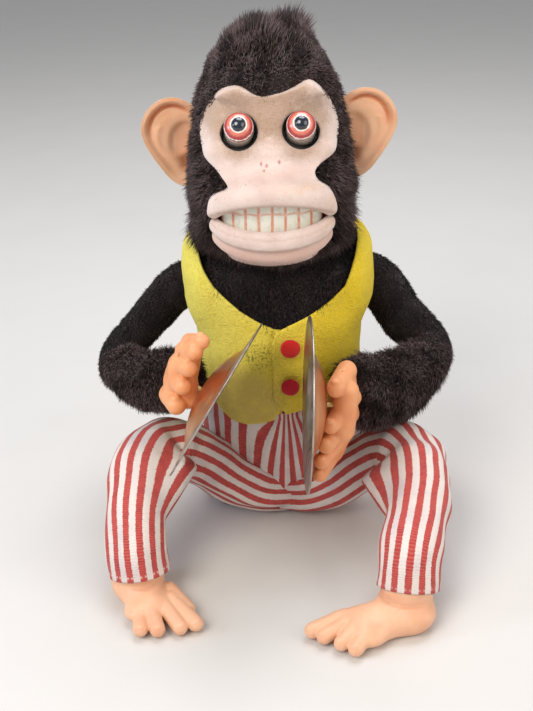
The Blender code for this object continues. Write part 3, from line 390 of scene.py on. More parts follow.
def surface(field, low, step):
    """Points and quads round the zero level of a sampled distance field."""
    inside = field < 0
    n = [size - 1 for size in field.shape]
    corner = [(i, j, k) for i in (0, 1) for j in (0, 1) for k in (0, 1)]

    def at(array, shift):
        return array[shift[0]:shift[0] + n[0], shift[1]:shift[1] + n[1], shift[2]:shift[2] + n[2]]

    count = sum(at(inside, c).astype(np.int8) for c in corner)
    active = (count > 0) & (count < 8)
    cells = np.argwhere(active)
    index = np.full(active.shape, -1, np.int64)
    index[active] = np.arange(len(cells))
    total = np.zeros((len(cells), 3))
    hits = np.zeros(len(cells))
    for a in corner:
        for axis in range(3):
            if a[axis]:
                continue
            b = list(a)
            b[axis] = 1
            fa = at(field, a)[active].astype(float)
            fb = at(field, b)[active].astype(float)
            cross = (fa < 0) != (fb < 0)
            t = np.where(cross, fa / np.where(cross, fa - fb, 1.0), 0.0)
            place = np.array(a, float) + t[:, None] * np.eye(3)[axis]
            total += place * cross[:, None]
            hits += cross
    points = (cells + total / hits[:, None]) * step + np.array(low)
    quads = []
    for axis in range(3):
        u, v = [(1, 2), (2, 0), (0, 1)][axis]
        ahead = [slice(None)] * 3
        behind = [slice(None)] * 3
        ahead[axis] = slice(1, None)
        behind[axis] = slice(None, -1)
        change = inside[tuple(ahead)] != inside[tuple(behind)]
        edges = np.argwhere(change)
        keep = (edges[:, u] > 0) & (edges[:, v] > 0) & (edges[:, u] < n[u]) & (edges[:, v] < n[v])
        edges = edges[keep]
        ring = []
        for du, dv in ((1, 1), (0, 1), (0, 0), (1, 0)):
            cell = edges.copy()
            cell[:, u] -= du
            cell[:, v] -= dv
            ring.append(index[cell[:, 0], cell[:, 1], cell[:, 2]])
        faces = np.stack(ring, -1)
        outward = inside[edges[:, 0], edges[:, 1], edges[:, 2]]
        faces[~outward] = faces[~outward][:, ::-1]
        quads.append(faces)
    return points, np.vstack(quads)


def relax(points, quads, rounds, amount=0.5):
    """Smooth a quad mesh a little, pushing back each time so that it doesn't shrink."""
    links = np.vstack([quads[:, [k, (k + 1) % 4]] for k in range(4)])
    degree = np.bincount(links.ravel(), minlength=len(points))[:, None]
    for turn in range(2 * rounds):
        total = np.zeros_like(points)
        for axis in range(3):
            total[:, axis] = (np.bincount(links[:, 0], points[links[:, 1], axis], len(points))
                              + np.bincount(links[:, 1], points[links[:, 0], axis], len(points)))
        points = points + (amount if turn % 2 == 0 else -amount * 0.96) * (total / degree - points)
    return points


def capsule(place, a, b, ra, rb=None):
    """Distance to a round-ended bar whose radius may change."""
    rb = ra if rb is None else rb
    a, b = np.asarray(a, float), np.asarray(b, float)
    d = b - a
    px, py, pz = (place[k] - a[k] for k in range(3))
    t = np.clip((px * d[0] + py * d[1] + pz * d[2]) / max(float(d @ d), 1e-9), 0, 1)
    far = np.sqrt((px - t * d[0]) ** 2 + (py - t * d[1]) ** 2 + (pz - t * d[2]) ** 2)
    return far - (ra + (rb - ra) * t)


def ellipsoid(place, centre, radii, turn=None):
    """Distance to an ellipsoid, near enough for modelling. turn is a 3x3 matrix of its axes as rows."""
    p = [place[k] - centre[k] for k in range(3)]
    if turn is not None:
        p = [sum(turn[j][k] * p[k] for k in range(3)) for j in range(3)]
    k0 = np.sqrt(sum((p[j] / radii[j]) ** 2 for j in range(3)))
    k1 = np.sqrt(sum((p[j] / radii[j] ** 2) ** 2 for j in range(3)))
    return k0 * (k0 - 1.0) / np.maximum(k1, 1e-6)


def join(a, b, soft):
    """Smooth union of two distances."""
    h = np.clip(0.5 + 0.5 * (b - a) / soft, 0, 1)
    return b + (a - b) * h - soft * h * (1 - h)


def carve(a, b, soft):
    """a with b smoothly cut out of it."""
    return -join(-a, b, soft)


def chain(place, points, radii, soft=None):
    """Distance to a string of bars through points."""
    total = None
    for k in range(len(points) - 1):
        one = capsule(place, points[k], points[k + 1], radii[k], radii[k + 1])
        total = one if total is None else (np.minimum(total, one) if soft is None else join(total, one, soft))
    return total


def shape_distance(levels, place):
    """Horizontal distance outside a body profile, negative inside."""
    x, y, z = place
    heights = z[0, 0, :]
    wide, front, back, front_power, back_power = (row[None, None, :] for row in body_shape(levels, heights))
    depth = np.where(y < 0, front, back)
    power = np.where(y < 0, front_power, back_power)
    g = (np.abs(x / wide) ** power + np.abs(y / depth) ** power) ** (1 / power)
    reach = np.sqrt(x * x + y * y)
    return reach * (1 - 1 / np.maximum(g, 1e-4))


def outline_distance(u, v, outline):
    """Signed distance in a plane to a closed outline, negative inside."""
    best = np.full(u.shape, 1e9)
    inside = np.zeros(u.shape, bool)
    for k in range(len(outline)):
        a, b = outline[k], outline[(k + 1) % len(outline)]
        d = b - a
        t = np.clip(((u - a[0]) * d[0] + (v - a[1]) * d[1]) / max(float(d @ d), 1e-9), 0, 1)
        best = np.minimum(best, np.hypot(u - a[0] - t * d[0], v - a[1] - t * d[1]))
        cross = (a[1] > v) != (b[1] > v)
        if abs(d[1]) > 1e-9:
            inside ^= cross & (u < a[0] + (v - a[1]) * d[0] / d[1])
    return np.where(inside, -best, best)


# ---------------------------------------------------------------- fur

def sample_mesh(points, faces, count, seed):
    """Random places and normals spread evenly over a quad mesh."""
    rng = np.random.default_rng(seed)
    triangles = np.vstack([faces[:, [0, 1, 2]], faces[:, [0, 2, 3]]])
    a, b, c = (points[triangles[:, k]] for k in range(3))
    cross = np.cross(b - a, c - a)
    area = np.linalg.norm(cross, axis=1)
    normals = np.zeros_like(points)
    for k in range(3):
        for axis in range(3):
            normals[:, axis] += np.bincount(triangles[:, k], cross[:, axis], len(points))
    normals = unit(normals)
    pick = rng.choice(len(triangles), count, p=area / area.sum())
    u, v = rng.random(count), rng.random(count)
    over = u + v > 1
    u[over], v[over] = 1 - u[over], 1 - v[over]
    w = np.stack([1 - u - v, u, v], -1)[:, :, None]
    chosen = triangles[pick]
    return (points[chosen] * w).sum(1), unit((normals[chosen] * w).sum(1))


def fur(name, roots, normals, comb, length, width, looks, body, seed, clump=4.0, gather=0.45, wild=0.28,
        stand=0.5, limit=15000, replaces=()):
    """Tapered bent fibres, in pieces of at most limit fibres. looks lists the root colours, then as many tip colours;
    the darker roots are painted shade deep in the pile.
    """
    rng = np.random.default_rng(seed)
    count = len(roots)
    way = unit(stand * normals + (1 - stand) * unit(comb) + wild * rng.normal(size=(count, 3)))
    # Fibres lean towards the tip of their tuft, which gives the pile its clumps.
    tufts = max(8, int(count / (clump * 8)))
    centres = roots[rng.choice(count, tufts, replace=False)]
    tilt = unit(rng.normal(size=(tufts, 3)))
    cell = clump * 1.2
    near = nearest(roots, centres, cell)
    length = length * rng.uniform(0.62, 1.16, count) * (0.88 + 0.26 * smooth_noise(roots, 9.0, seed + 1))
    aim = centres[near] + way * length[:, None] + tilt[near] * 0.22 * length[:, None] - roots
    way = unit((1 - gather) * way + gather * unit(aim))
    inward = np.einsum("ij,ij->i", way, normals)
    way = unit(way + normals * np.maximum(0.0, 0.18 - inward)[:, None])
    bend = unit(comb) - np.einsum("ij,ij->i", unit(comb), way)[:, None] * way
    start = roots - normals * 0.5
    middle = roots + way * (0.5 * length)[:, None]
    tip = roots + way * (0.95 * length)[:, None] + bend * (0.30 * length)[:, None]
    across = unit(np.cross(way, rng.normal(size=(count, 3))))
    over = np.cross(way, across)
    thick = width * rng.uniform(0.75, 1.2, count)
    rings = []
    for centre, share in ((start, 1.0), (middle, 0.72)):
        for k in range(3):
            a = 2 * math.pi * k / 3
            rings.append(centre + (0.5 * share * thick)[:, None] * (math.cos(a) * across + math.sin(a) * over))
    points = np.stack(rings + [tip], 1)
    shape = [(0, 1, 4), (0, 4, 3), (1, 2, 5), (1, 5, 4), (2, 0, 3), (2, 3, 5), (3, 4, 6), (4, 5, 6), (5, 3, 6),
             (0, 2, 1)]
    kinds = len(looks) // 2
    made = []
    shade = rng.integers(0, kinds, count)
    # Patches of the palest kind, whose grey tips are a painted highlight, and of the darkest kind.
    pale = smooth_noise(roots, 7.5, seed + 2) + 0.4 * rng.normal(size=count)
    shade = np.where(pale > 0.75, kinds - 1, np.where(pale < -0.6, 0, shade))
    for part, first in enumerate(range(0, count, limit)):
        some = slice(first, min(first + limit, count))
        block = points[some]
        faces = (np.arange(len(block))[:, None, None] * 7 + np.array(shape)[None]).reshape(-1, 3)
        kind = shade[some]
        slots = np.where(np.arange(10)[None] < 6, kind[:, None], kind[:, None] + kinds).ravel()
        label = name if count <= limit else f"{name}_{part + 1}"
        made.append(piece(label, block.reshape(-1, 3), faces, looks, body, replaces if part == 0 else (),
                          slots=slots))
    return made


def nearest(places, centres, cell):
    """Index of a nearby centre for every place, found through a KD tree."""
    from mathutils.kdtree import KDTree
    tree = KDTree(len(centres))
    for k, centre in enumerate(centres):
        tree.insert(centre, k)
    tree.balance()
    return np.array([tree.find(place)[1] for place in places])


# ---------------------------------------------------------------- head

FACE_OUTLINE = [
    (-2.8, 237.3), (3.6, 238.2), (8.7, 239.4), (13.8, 241.2), (19.1, 243.1), (23.6, 240.1), (28.2, 234.4),
    (32.2, 226.3), (33.6, 219.1), (31.0, 213.0), (24.0, 209.0), (20.0, 206.0), (21.5, 200.5), (27.6, 195.3),
    (31.0, 186.6), (30.0, 177.4), (30.3, 167.0), (25.0, 160.0), (14.0, 154.5), (0.0, 152.5), (-14.0, 154.5),
    (-25.0, 161.0), (-29.9, 172.8), (-30.8, 186.0), (-27.7, 193.5), (-20.5, 197.5), (-20.5, 201.5),
    (-24.9, 206.0), (-31.7, 211.2), (-33.7, 216.9), (-33.6, 221.7), (-30.7, 228.9), (-26.4, 235.6),
    (-21.7, 239.9), (-15.8, 241.7), (-12.1, 240.8), (-7.7, 238.4),
]
LIP_SWEEP = math.radians(66.0)


def face_outline(grow=0.0):
    """Closed outline of the bare face in the XZ plane, grown by grow."""
    whole = curve(np.array(FACE_OUTLINE), 148, closed=True)
    ahead = np.roll(whole, -1, axis=0) - np.roll(whole, 1, axis=0)
    return whole + grow * unit(np.stack([-ahead[:, 1], ahead[:, 0]], -1))


def mouth_arc(angle, radius_x, radius_y, centre_y):
    """Points of a horizontal arc round the mouth."""
    return np.stack([radius_x * np.sin(angle), centre_y - radius_y * np.cos(angle), np.zeros_like(angle)], -1)


def lip_rise(angle):
    """1 at the middle of the mouth and 0 at its corners."""
    return (np.cos(angle) - math.cos(LIP_SWEEP)) / (1 - math.cos(LIP_SWEEP))


def face_look():
    """Flocked felt: pale muzzle, worn tan weave round the eyes and brow, painted highlight on the brow tops, painted
    shade under the lips, stains and flecks.
    """
    look = Look("face_felt", (0.80, 0.63, 0.56), 0.95, Sheen_Weight=0.35, Sheen_Roughness=0.6,
                Specular_IOR_Level=0.2)
    wear_and_painted_light = look.attribute("wear_and_painted_light")
    patchy = look.maths("MULTIPLY", wear_and_painted_light, look.step(look.noise(7.0, 4.0), 0.10, 0.55))
    pale = look.blend((0.80, 0.645, 0.58), (0.73, 0.555, 0.49), look.step(look.noise(11.0, 4.0), 0.35, 0.7))
    tint = look.blend(pale, (0.50, 0.345, 0.255), patchy)
    weave = look.maths("MULTIPLY", look.noise(0.9, 1.0, (0.30, 1, 2.6)), look.noise(0.9, 1.0, (2.6, 1, 0.30)))
    threads = look.maths("MULTIPLY", look.step(weave, 0.24, 0.36), look.maths("MULTIPLY", wear_and_painted_light, 0.7))
    tint = look.blend(tint, (0.42, 0.25, 0.16), threads)
    blotch = look.maths("MULTIPLY", look.attribute("stain"), look.step(look.noise(3.0, 4.0), 0.3, 0.7))
    tint = look.blend(tint, (0.78, 0.44, 0.16), blotch)
    tint = look.blend(tint, (0.72, 0.42, 0.33), look.maths("MULTIPLY", look.attribute("flush"), 0.6))
    fleck = look.maths("MULTIPLY", look.step(look.noise(1.1, 2.0), 0.68, 0.74), 0.55)
    tint = look.blend(tint, (0.34, 0.20, 0.13), fleck)
    tint = look.blend(tint, (0.36, 0.03, 0.02), look.attribute("dots"))
    look.colour(tint)
    look.bump(weave, 0.35)
    look.bump(look.noise(2.2, 4.0), 0.25)
    return look.bump(look.noise(0.5, 3.0), 0.34).material


def blob(points, centre, radii):
    """Soft spot, 1 at its centre."""
    far = (((points - np.array(centre)) / np.array(radii)) ** 2).sum(-1)
    return np.exp(-far)


def face(look):
    """Felt face from the brow to the upper lip, and the chin with the lower lip."""
    step = 0.62
    low, high = (-42.0, -76.0, 178.0), (42.0, 6.0, 252.0)
    place = field_box(low, high, step)
    x, y, z = place
    skull = shape_distance(SKULL, place)
    shell = skull - 2.9
    # The muzzle swells out evenly from the nose down to the lip.
    angles = np.linspace(-LIP_SWEEP, LIP_SWEEP, 13)
    rise = lip_rise(angles)
    lip = mouth_arc(angles, 31.6, 20.6, -44)
    lip[:, 2] = 187.0 + 8.6 * rise
    high_arc = mouth_arc(angles, 28.5, 16.5, -43.5)
    high_arc[:, 2] = 194.0 + 8.6 * rise
    squeezed = (x, y, z * 0.72)
    flat = np.array((1, 1, 0.72))
    muzzle = chain(squeezed, high_arc * flat, 5.2 - 1.2 * (1 - rise))
    roll = chain(squeezed, lip * flat, 3.5 + 0.5 * (1 - np.clip(rise, 0, 1)))
    nose = ellipsoid(place, (0, -50.5, 212.5), (7.5, 5.5, 5.0))
    shell = join(shell, muzzle, 9.0)
    shell = join(shell, nose, 5.0)
    for side in (-1, 1):
        brow = ellipsoid(place, (side * 15, -37.5, 240.5), (14.0, 5.6, 5.0))
        cheek = ellipsoid(place, (side * 24, -42.0, 212.5), (8.0, 8.0, 6.5))
        shell = join(join(shell, brow, 7.0), cheek, 6.0)
    around = np.arctan2(x / 31.6, -(y + 44) / 21)
    line = 187.0 + 8.6 * lip_rise(np.clip(around, -LIP_SWEEP, LIP_SWEEP))
    body = np.maximum(shell, -(skull - 0.9))
    body = carve(body, z - line + 1.0, 2.0)
    hidden = chain(place, lip + np.array((0, 6.5, -4.0)), np.full(13, 4.2))
    body = carve(body, hidden, 1.5)
    body = join(body, roll, 3.0)
    for name, side in SIDES:
        tip = EYE_TIPS[name]
        hole = capsule(place, tip - 26 * EYE_AXIS + (0, 0, -1.0), tip + 14 * EYE_AXIS + (0, 0, -1.0), 9.0)
        body = carve(body, hole, 1.3)
    edge = outline_distance(x[:, 0, :], z[:, 0, :], face_outline(1.2))[:, None, :]
    body = np.maximum(body, np.maximum(edge, y + 1))
    points, quads = surface(body.astype(np.float32), low, step)
    points = relax(points, quads, 4)
    values = face_values(points)
    made = piece("face_felt", on_neck(points), quads, look, None, ("face_mask", "upper_lip"),
                 values=values)
    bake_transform(made)
    chin(look)


def face_values(points):
    """Where the felt is worn, stained and flushed, and where painted highlight and painted shade fall, for its
    material.
    """
    x, y, z = points.T
    wear_and_painted_light = np.clip((z - 215) / 12, 0, 1) * 0.95
    # Painted highlight: the worn tan is lifted from the tops of both brows and from the +X edge, so the pale felt
    # shows there.
    wear_and_painted_light *= 1 - 0.8 * blob(points, (24, -34, 243), (6, 20, 6)) - 0.55 * blob(points, (-22, -34, 241), (5, 20, 4))
    wear_and_painted_light *= 1 - 0.7 * np.clip((x - 24) / 8, 0, 1)
    for _, side in SIDES:
        wear_and_painted_light += 0.9 * blob(points, (side * 15, -46, 226), (13, 30, 12)) * (z > 205)
        wear_and_painted_light += 0.7 * blob(points, (side * 15, -50, 213.5), (9, 12, 3))
    # Painted shade: a tan band along the underside of the upper lip roll.
    around = np.clip(np.arctan2(x / 31.6, -(y + 44) / 21), -LIP_SWEEP, LIP_SWEEP)
    under = 187.0 + 8.6 * lip_rise(around) - 4.5
    wear_and_painted_light += 0.8 * np.exp(-((z - under) / 1.1) ** 2) * (z < 196)
    stain = 0.55 * blob(points, (17, -62, 199.0), (8.5, 14, 1.8)) + 0.45 * blob(points, (29, -54, 190), (4, 8, 4))
    stain += 0.35 * blob(points, (-24, -48, 229), (4, 12, 10))
    flush = 0.5 * blob(points, (0, -56, 205), (16, 20, 6))
    dots = np.zeros(len(points))
    for px, pz, size in ((-4.7, 210.5, 0.5), (-2.1, 209.9, 0.5), (-3.4, 208.2, 0.45), (4.0, 210.9, 0.55)):
        dots += 0.75 * np.clip(1.7 - np.hypot(x - px, z - pz) / size, 0, 1) * (y < -45)
    return {"wear_and_painted_light": np.clip(wear_and_painted_light, 0, 1), "stain": np.clip(stain, 0, 1), "flush": np.clip(flush, 0, 1),
            "dots": np.clip(dots, 0, 1)}


def chin(look):
    """Lower lip roll over a bowl-shaped chin, open behind the teeth."""
    step = 0.62
    low, high = (-40.0, -70.0, 148.0), (40.0, -30.0, 188.0)
    place = field_box(low, high, step)
    x, y, z = place
    angles = np.linspace(-LIP_SWEEP, LIP_SWEEP, 13)
    rise = lip_rise(angles)
    lip = mouth_arc(angles, 31.2, 20.4, -42)
    lip[:, 2] = 177.2 - 5.6 * rise
    roll = chain((x, y, z * 0.78), lip * np.array((1, 1, 0.78)), 3.0 + 1.1 * rise)
    bowl_arc = mouth_arc(angles, 26.8, 15.6, -41)
    bowl_arc[:, 2] = 170.8 - 5.6 * rise
    bowl = chain(place, bowl_arc, 6.0 + 0.6 * rise)
    floor = ellipsoid(place, (0, -43.0, 161.0), (24.0, 12.5, 8.0))
    body = join(bowl, floor, 4.0)
    inside = np.sqrt((x / 27.0) ** 2 + ((y + 40) / 14.5) ** 2)
    cavity = np.maximum((inside - 1) * 13.0, 165.5 - z)
    body = join(body, roll, 1.6)
    body = carve(body, cavity, 1.2)
    edge = outline_distance(x[:, 0, :], z[:, 0, :], face_outline(1.5))[:, None, :]
    body = np.maximum(body, np.maximum(edge, y + 32))
    points, quads = surface(body.astype(np.float32), low, step)
    points = relax(points, quads, 4)
    px, py, pz = points.T
    around = np.clip(np.arctan2(px / 33, -(py + 42) / 20), -LIP_SWEEP, LIP_SWEEP)
    below = 177.2 - 5.6 * lip_rise(around) - pz
    flush = np.clip((below - 2.5) / 3.0, 0, 1)
    # Painted shade in the crease under the lower lip roll, and a fainter tan band along the top of the lower lip.
    wear_and_painted_light = 0.75 * np.exp(-((below - 3.9) / 0.9) ** 2) + 0.3 * np.clip((below + 4.0) / 2.0, 0, 1) * (below < -2.0)
    zero = np.zeros(len(points))
    stain = 0.5 * blob(points, (29, -52, 176), (5, 9, 4))
    made = piece("chin_felt", on_neck(points), quads, look, None, ("lower_lip",),
                 values={"wear_and_painted_light": wear_and_painted_light, "stain": stain, "flush": flush, "dots": zero})
    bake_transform(made)


def teeth_look():
    """Off-white enamel parted by coral lines, darker towards the top with painted shade under the upper lip."""
    look = Look("teeth_print", (0.80, 0.80, 0.70), 0.36, Specular_IOR_Level=0.4, Coat_Weight=0.15)
    across, height = look.attribute("across"), look.attribute("height")
    wobble = look.maths("MULTIPLY_ADD", look.noise(5.0), 0.10, -0.05)
    part = look.maths("FRACT", look.maths("ADD", across, wobble))
    part = look.maths("ABSOLUTE", look.maths("SUBTRACT", part, 0.5))
    line = look.maths("SUBTRACT", 1.0, look.step(part, 0.075, 0.13))
    level = look.maths("ABSOLUTE", look.maths("SUBTRACT", look.maths("ADD", height, wobble), 0.47))
    thin = look.maths("MULTIPLY", look.maths("SUBTRACT", 1.0, look.step(level, 0.012, 0.035)), 0.7)
    enamel = look.blend((0.84, 0.85, 0.74), (0.70, 0.66, 0.56), look.step(look.noise(4.0, 4.0), 0.45, 0.75))
    # Painted shade: the enamel darkens towards the top, under the upper lip.
    enamel = look.blend(enamel, (0.55, 0.47, 0.40), look.maths("MULTIPLY", look.step(height, 0.45, 0.95), 0.6))
    coral = look.blend((0.70, 0.25, 0.15), (0.80, 0.48, 0.36), look.step(look.noise(2.5, 4.0), 0.35, 0.7))
    look.colour(look.blend(enamel, coral, look.maths("MAXIMUM", line, thin)))
    return look.bump(look.noise(1.4, 2.0), 0.05).material


def teeth():
    """Curved printed plate that carries the teeth."""
    look = teeth_look()
    columns, rows = 121, 25
    sweep = math.asin(25.0 / 29.0)
    angle = np.linspace(-sweep, sweep, columns)
    flat = mouth_arc(angle, 29, 15.5, -42)
    length = np.concatenate([[0], np.cumsum(np.linalg.norm(np.diff(flat, axis=0), axis=1))])
    place = (length - length[-1] / 2) / 6.6 + 0.5
    swell = 0.4 * np.abs(np.cos(math.pi * place))
    out = unit(flat - np.array((0, -30, 0)))
    points, across, height = [], [], []
    for depth in (0.0, -1.2):
        for row in range(rows):
            up = row / (rows - 1)
            grow = depth if depth else swell * math.sin(math.pi * min(1.0, up * 1.15 + 0.05)) ** 0.5
            ring = flat + out * np.reshape(grow, (-1, 1)) if depth == 0 else flat + out * depth
            points.append(ring + np.array((0, 0, 173.0 + 24.2 * up)))
            across.append(place)
            height.append(np.full(columns, up))
    points = np.vstack(points)
    front = grid_faces(rows, columns)
    back = grid_faces(rows, columns, flip=True) + rows * columns
    half = rows * columns
    rim = []
    for first, second in (([*range(columns)], 1), ([*range((rows - 1) * columns, rows * columns)], -1)):
        for a, b in zip(first[:-1], first[1:]):
            rim.append((a, a + half, b + half, b) if second > 0 else (a, b, b + half, a + half))
    for column, way in ((0, -1), (columns - 1, 1)):
        for row in range(rows - 1):
            a, b = row * columns + column, (row + 1) * columns + column
            rim.append((a, a + half, b + half, b) if way > 0 else (a, b, b + half, a + half))
    faces = np.vstack([front, back, np.array(rim)])
    piece("teeth", on_neck(points), faces, look, "head", ("teeth_plate",),
          values={"across": np.concatenate(across), "height": np.concatenate(height)})


def mouth_lining():
    """Red lining that curves round behind the teeth."""
    red = Look("mouth_lining", (0.26, 0.012, 0.014), 0.55, Sheen_Weight=0.2)
    red.colour(red.blend((0.30, 0.014, 0.016), (0.12, 0.006, 0.006), red.step(red.noise(4.0, 4.0), 0.4, 0.7)))
    red.bump(red.noise(1.2, 3.0), 0.15)
    angle = np.linspace(-math.radians(88), math.radians(88), 61)
    rings = []
    for depth in (0.0, 0.9):
        arc = mouth_arc(angle, 30.6 - depth, 11.3 - depth, -41)
        for z in np.linspace(168.5, 201.5, 9):
            rings.append(arc + np.array((0, 0, z)))
    rings = np.array(rings)
    rings = np.concatenate([rings[:9], rings[9:][::-1], rings[:1]])
    count = rings.shape[0] - 1
    points = rings[:count].reshape(-1, 3)
    faces = [(r * 61 + c, r * 61 + c + 1, ((r + 1) % count) * 61 + c + 1, ((r + 1) % count) * 61 + c)
             for r in range(count) for c in range(60)]
    faces += [tuple(r * 61 for r in range(count)), tuple(r * 61 + 60 for r in reversed(range(count)))]
    piece("mouth_lining", on_neck(points), faces, red.material, "head", ("mouth_liner",))


def eye_looks():
    """Ringed eye print on the dome and tube, and the glossy pupil."""
    look = Look("eye_print", (0.7, 0.2, 0.12), 0.2, Coat_Weight=0.6, Coat_Roughness=0.08)
    ring = look.attribute("ring")
    streak = look.maths("MULTIPLY_ADD", look.noise(1.4, 4.0), 0.05, -0.025)
    black, white, coral = (0.01, 0.01, 0.012), (0.84, 0.80, 0.76), (0.74, 0.20, 0.13)
    crimson, wine, taupe = (0.40, 0.028, 0.035), (0.20, 0.012, 0.02), (0.40, 0.34, 0.29)
    stops = [(0.0, black), (0.240, black), (0.248, white), (0.285, white), (0.296, coral), (0.35, coral),
             (0.42, crimson), (0.470, crimson), (0.476, white), (0.490, white), (0.497, wine), (0.53, wine),
             (0.545, taupe), (0.72, (0.50, 0.43, 0.37)), (1.0, (0.28, 0.24, 0.20))]
    look.colour(look.ramp(look.maths("ADD", look.maths("MULTIPLY", ring, 0.5), streak), stops))
    look.bump(look.noise(0.8, 2.0), 0.02)
    pupil = Look("pupil", (0.006, 0.012, 0.024), 0.06, Coat_Weight=1.0, Coat_Roughness=0.03)
    pupil.rough(pupil.maths("MULTIPLY_ADD", pupil.noise(1.5), 0.06, 0.03))
    # Dark cloth for the sleeves round the eye tubes: painted shade in the gaps of the eye holes.
    socket = undercoat("socket_gap_shade", (0.030, 0.017, 0.012), (0.10, 0.05, 0.03))
    return look.material, pupil.material, socket.material


def lathe(profile, base, ahead, sides=64, ends=(True, True)):
    """Points and faces of a profile of (radius, height) turned about an axis."""
    ahead = unit(ahead)
    across = unit(np.cross(ahead, (0.3, 0.1, 1.0)))
    over = np.cross(ahead, across)
    angle = np.linspace(0, 2 * math.pi, sides, endpoint=False)
    spoke = np.cos(angle)[:, None] * across + np.sin(angle)[:, None] * over
    points = np.vstack([np.array(base) + radius * spoke + height * ahead for radius, height in profile])
    faces = grid_faces(len(profile), sides, closed=True).tolist()
    if ends[0]:
        faces.append(tuple(reversed(range(sides))))
    if ends[1]:
        faces.append(tuple(range((len(profile) - 1) * sides, len(profile) * sides)))
    return points, faces


def eyes():
    """Eye tubes with printed domes and pupils, and a dark sleeve round each as painted shade in the gap of its eye
    hole.
    """
    print_look, pupil_look, gap_shade_look = eye_looks()
    for name, _ in SIDES:
        tip = EYE_TIPS[name]
        profile, ring = [], []
        for along in np.linspace(-EYE_LENGTH, -5.6, 9):
            profile.append((EYE_RADIUS, along))
            ring.append(1.05 + 0.9 * (-5.6 - along) / (EYE_LENGTH - 5.6))
        for angle in np.linspace(0, math.radians(88), 28):
            profile.append((EYE_RADIUS * math.cos(angle), -5.6 + 5.6 * math.sin(angle)))
            ring.append(math.cos(angle))
        points, faces = lathe(profile, tip, EYE_AXIS, 72)
        piece(name + "_eyeball", on_neck(points), faces, print_look, "eyes", (name + "_eye",),
              values={"ring": np.repeat(ring, 72)})
        dome = [(3.45, -1.0), (3.4, -0.5), (3.1, 0.1), (2.45, 0.65), (1.55, 1.05), (0.7, 1.25), (0.15, 1.3)]
        points, faces = lathe(dome, tip, EYE_AXIS, 40)
        piece(name + "_pupil", on_neck(points), faces, pupil_look, "eyes", ())
        # Dark sleeve in the eye hole: painted shade in the gap round the tube.
        wall = [(8.3, -21.0), (8.6, -17.0), (9.0, -13.5), (9.5, -13.5), (9.2, -17.0), (8.9, -21.0), (8.3, -21.0)]
        points, faces = lathe(wall, tip + (0, 0, -0.8), EYE_AXIS, 48, ends=(False, False))
        piece(name + "_socket", on_neck(points), faces, gap_shade_look, "head")


def ears(base):
    """Vinyl ears with a rolled rim, a crease under it, an inner bowl and a notch."""
    outline = curve(np.array([
        (-5, 17), (1, 21.5), (8, 23.6), (15.5, 22), (22, 16.5), (25.2, 9), (24.6, 2), (21, -6), (15.5, -14.5),
        (10.5, -20.5), (4.5, -23.6), (-2, -22), (-6, -13), (-7, 2), (-6.5, 11)]), 120, closed=True)
    centre = np.array((8.0, 3.0))
    shares = np.concatenate([[0.02], np.linspace(0.07, 1.0, 44)])
    for name, side in SIDES:
        front, back, shade = [], [], []
        for share in shares:
            u, v = (centre + share * (outline - centre)).T
            top = np.clip((v - 1.0) / 9.0, 0, 1) * np.clip((u + 2.0) / 5.0, 0, 1)
            outer = np.clip((u - 2.0) / 8.0, 0, 1)
            rim = np.exp(-((share - 0.92) / 0.11) ** 2)
            crease = np.exp(-((share - 0.755) / 0.05) ** 2) * top
            fold = np.exp(-(((u - 8.5) / 9.0) ** 2 + ((v - 2.0) / 10.5) ** 2 - 1.0) ** 2 / 0.16)
            fold = fold * (0.4 + 0.6 * (v < 8))
            bowl = 1 / (1 + np.exp(-(1.0 - ((u - 2.5) / 8.0) ** 2 - ((v + 1.0) / 10.0) ** 2) * 4.5))
            notch = np.exp(-((u - 3.0) / 3.0) ** 2 - ((v + 13.0) / 3.6) ** 2)
            depth = 1.5 - 3.0 * rim * (0.40 + 0.60 * np.maximum(top, 0.35 * outer)) + 1.9 * crease - 0.7 * fold
            depth += 2.6 * bowl + 2.6 * notch
            depth = depth * (1 - share ** 10) + (-2.0) * share ** 10
            front.append(np.stack([side * (41.5 + u), depth - 3.2, EAR_HEIGHT[name] + v], -1))
            dome = -2.0 + 9.0 * np.sqrt(max(0.0, 1 - share ** 2.4))
            back.append(np.stack([side * (41.5 + u), np.full_like(u, dome - 3.2), EAR_HEIGHT[name] + v], -1))
            # Painted shade: deeper orange in the crease under the rim, the bowl, the notch and the fold.
            shade.append(np.clip(0.9 * crease + 0.35 * bowl * (u < 8) + 0.95 * notch + 0.12 * fold, 0, 1))
        look = ear_look(name, base)
        rows = len(shares)
        points = np.vstack(front + back[:-1])
        shade = np.concatenate([np.concatenate(shade), np.zeros(120 * (rows - 1))])
        faces = grid_faces(rows, 120, closed=True, flip=side < 0).tolist()
        link = np.vstack([np.arange(rows * 120, (2 * rows - 1) * 120).reshape(rows - 1, 120),
                          np.arange((rows - 1) * 120, rows * 120)[None]])
        order = grid_faces(rows, 120, closed=True, flip=side > 0)
        faces += link.ravel()[order].tolist()
        ring = tuple(range(120))
        faces.append(ring[::-1] if side > 0 else ring)
        hub = tuple(range(rows * 120, rows * 120 + 120))
        faces.append(hub if side > 0 else hub[::-1])
        piece(name + "_ear_shell", on_neck(points), faces, look, "head", (name + "_ear",),
              values={"shade": shade})


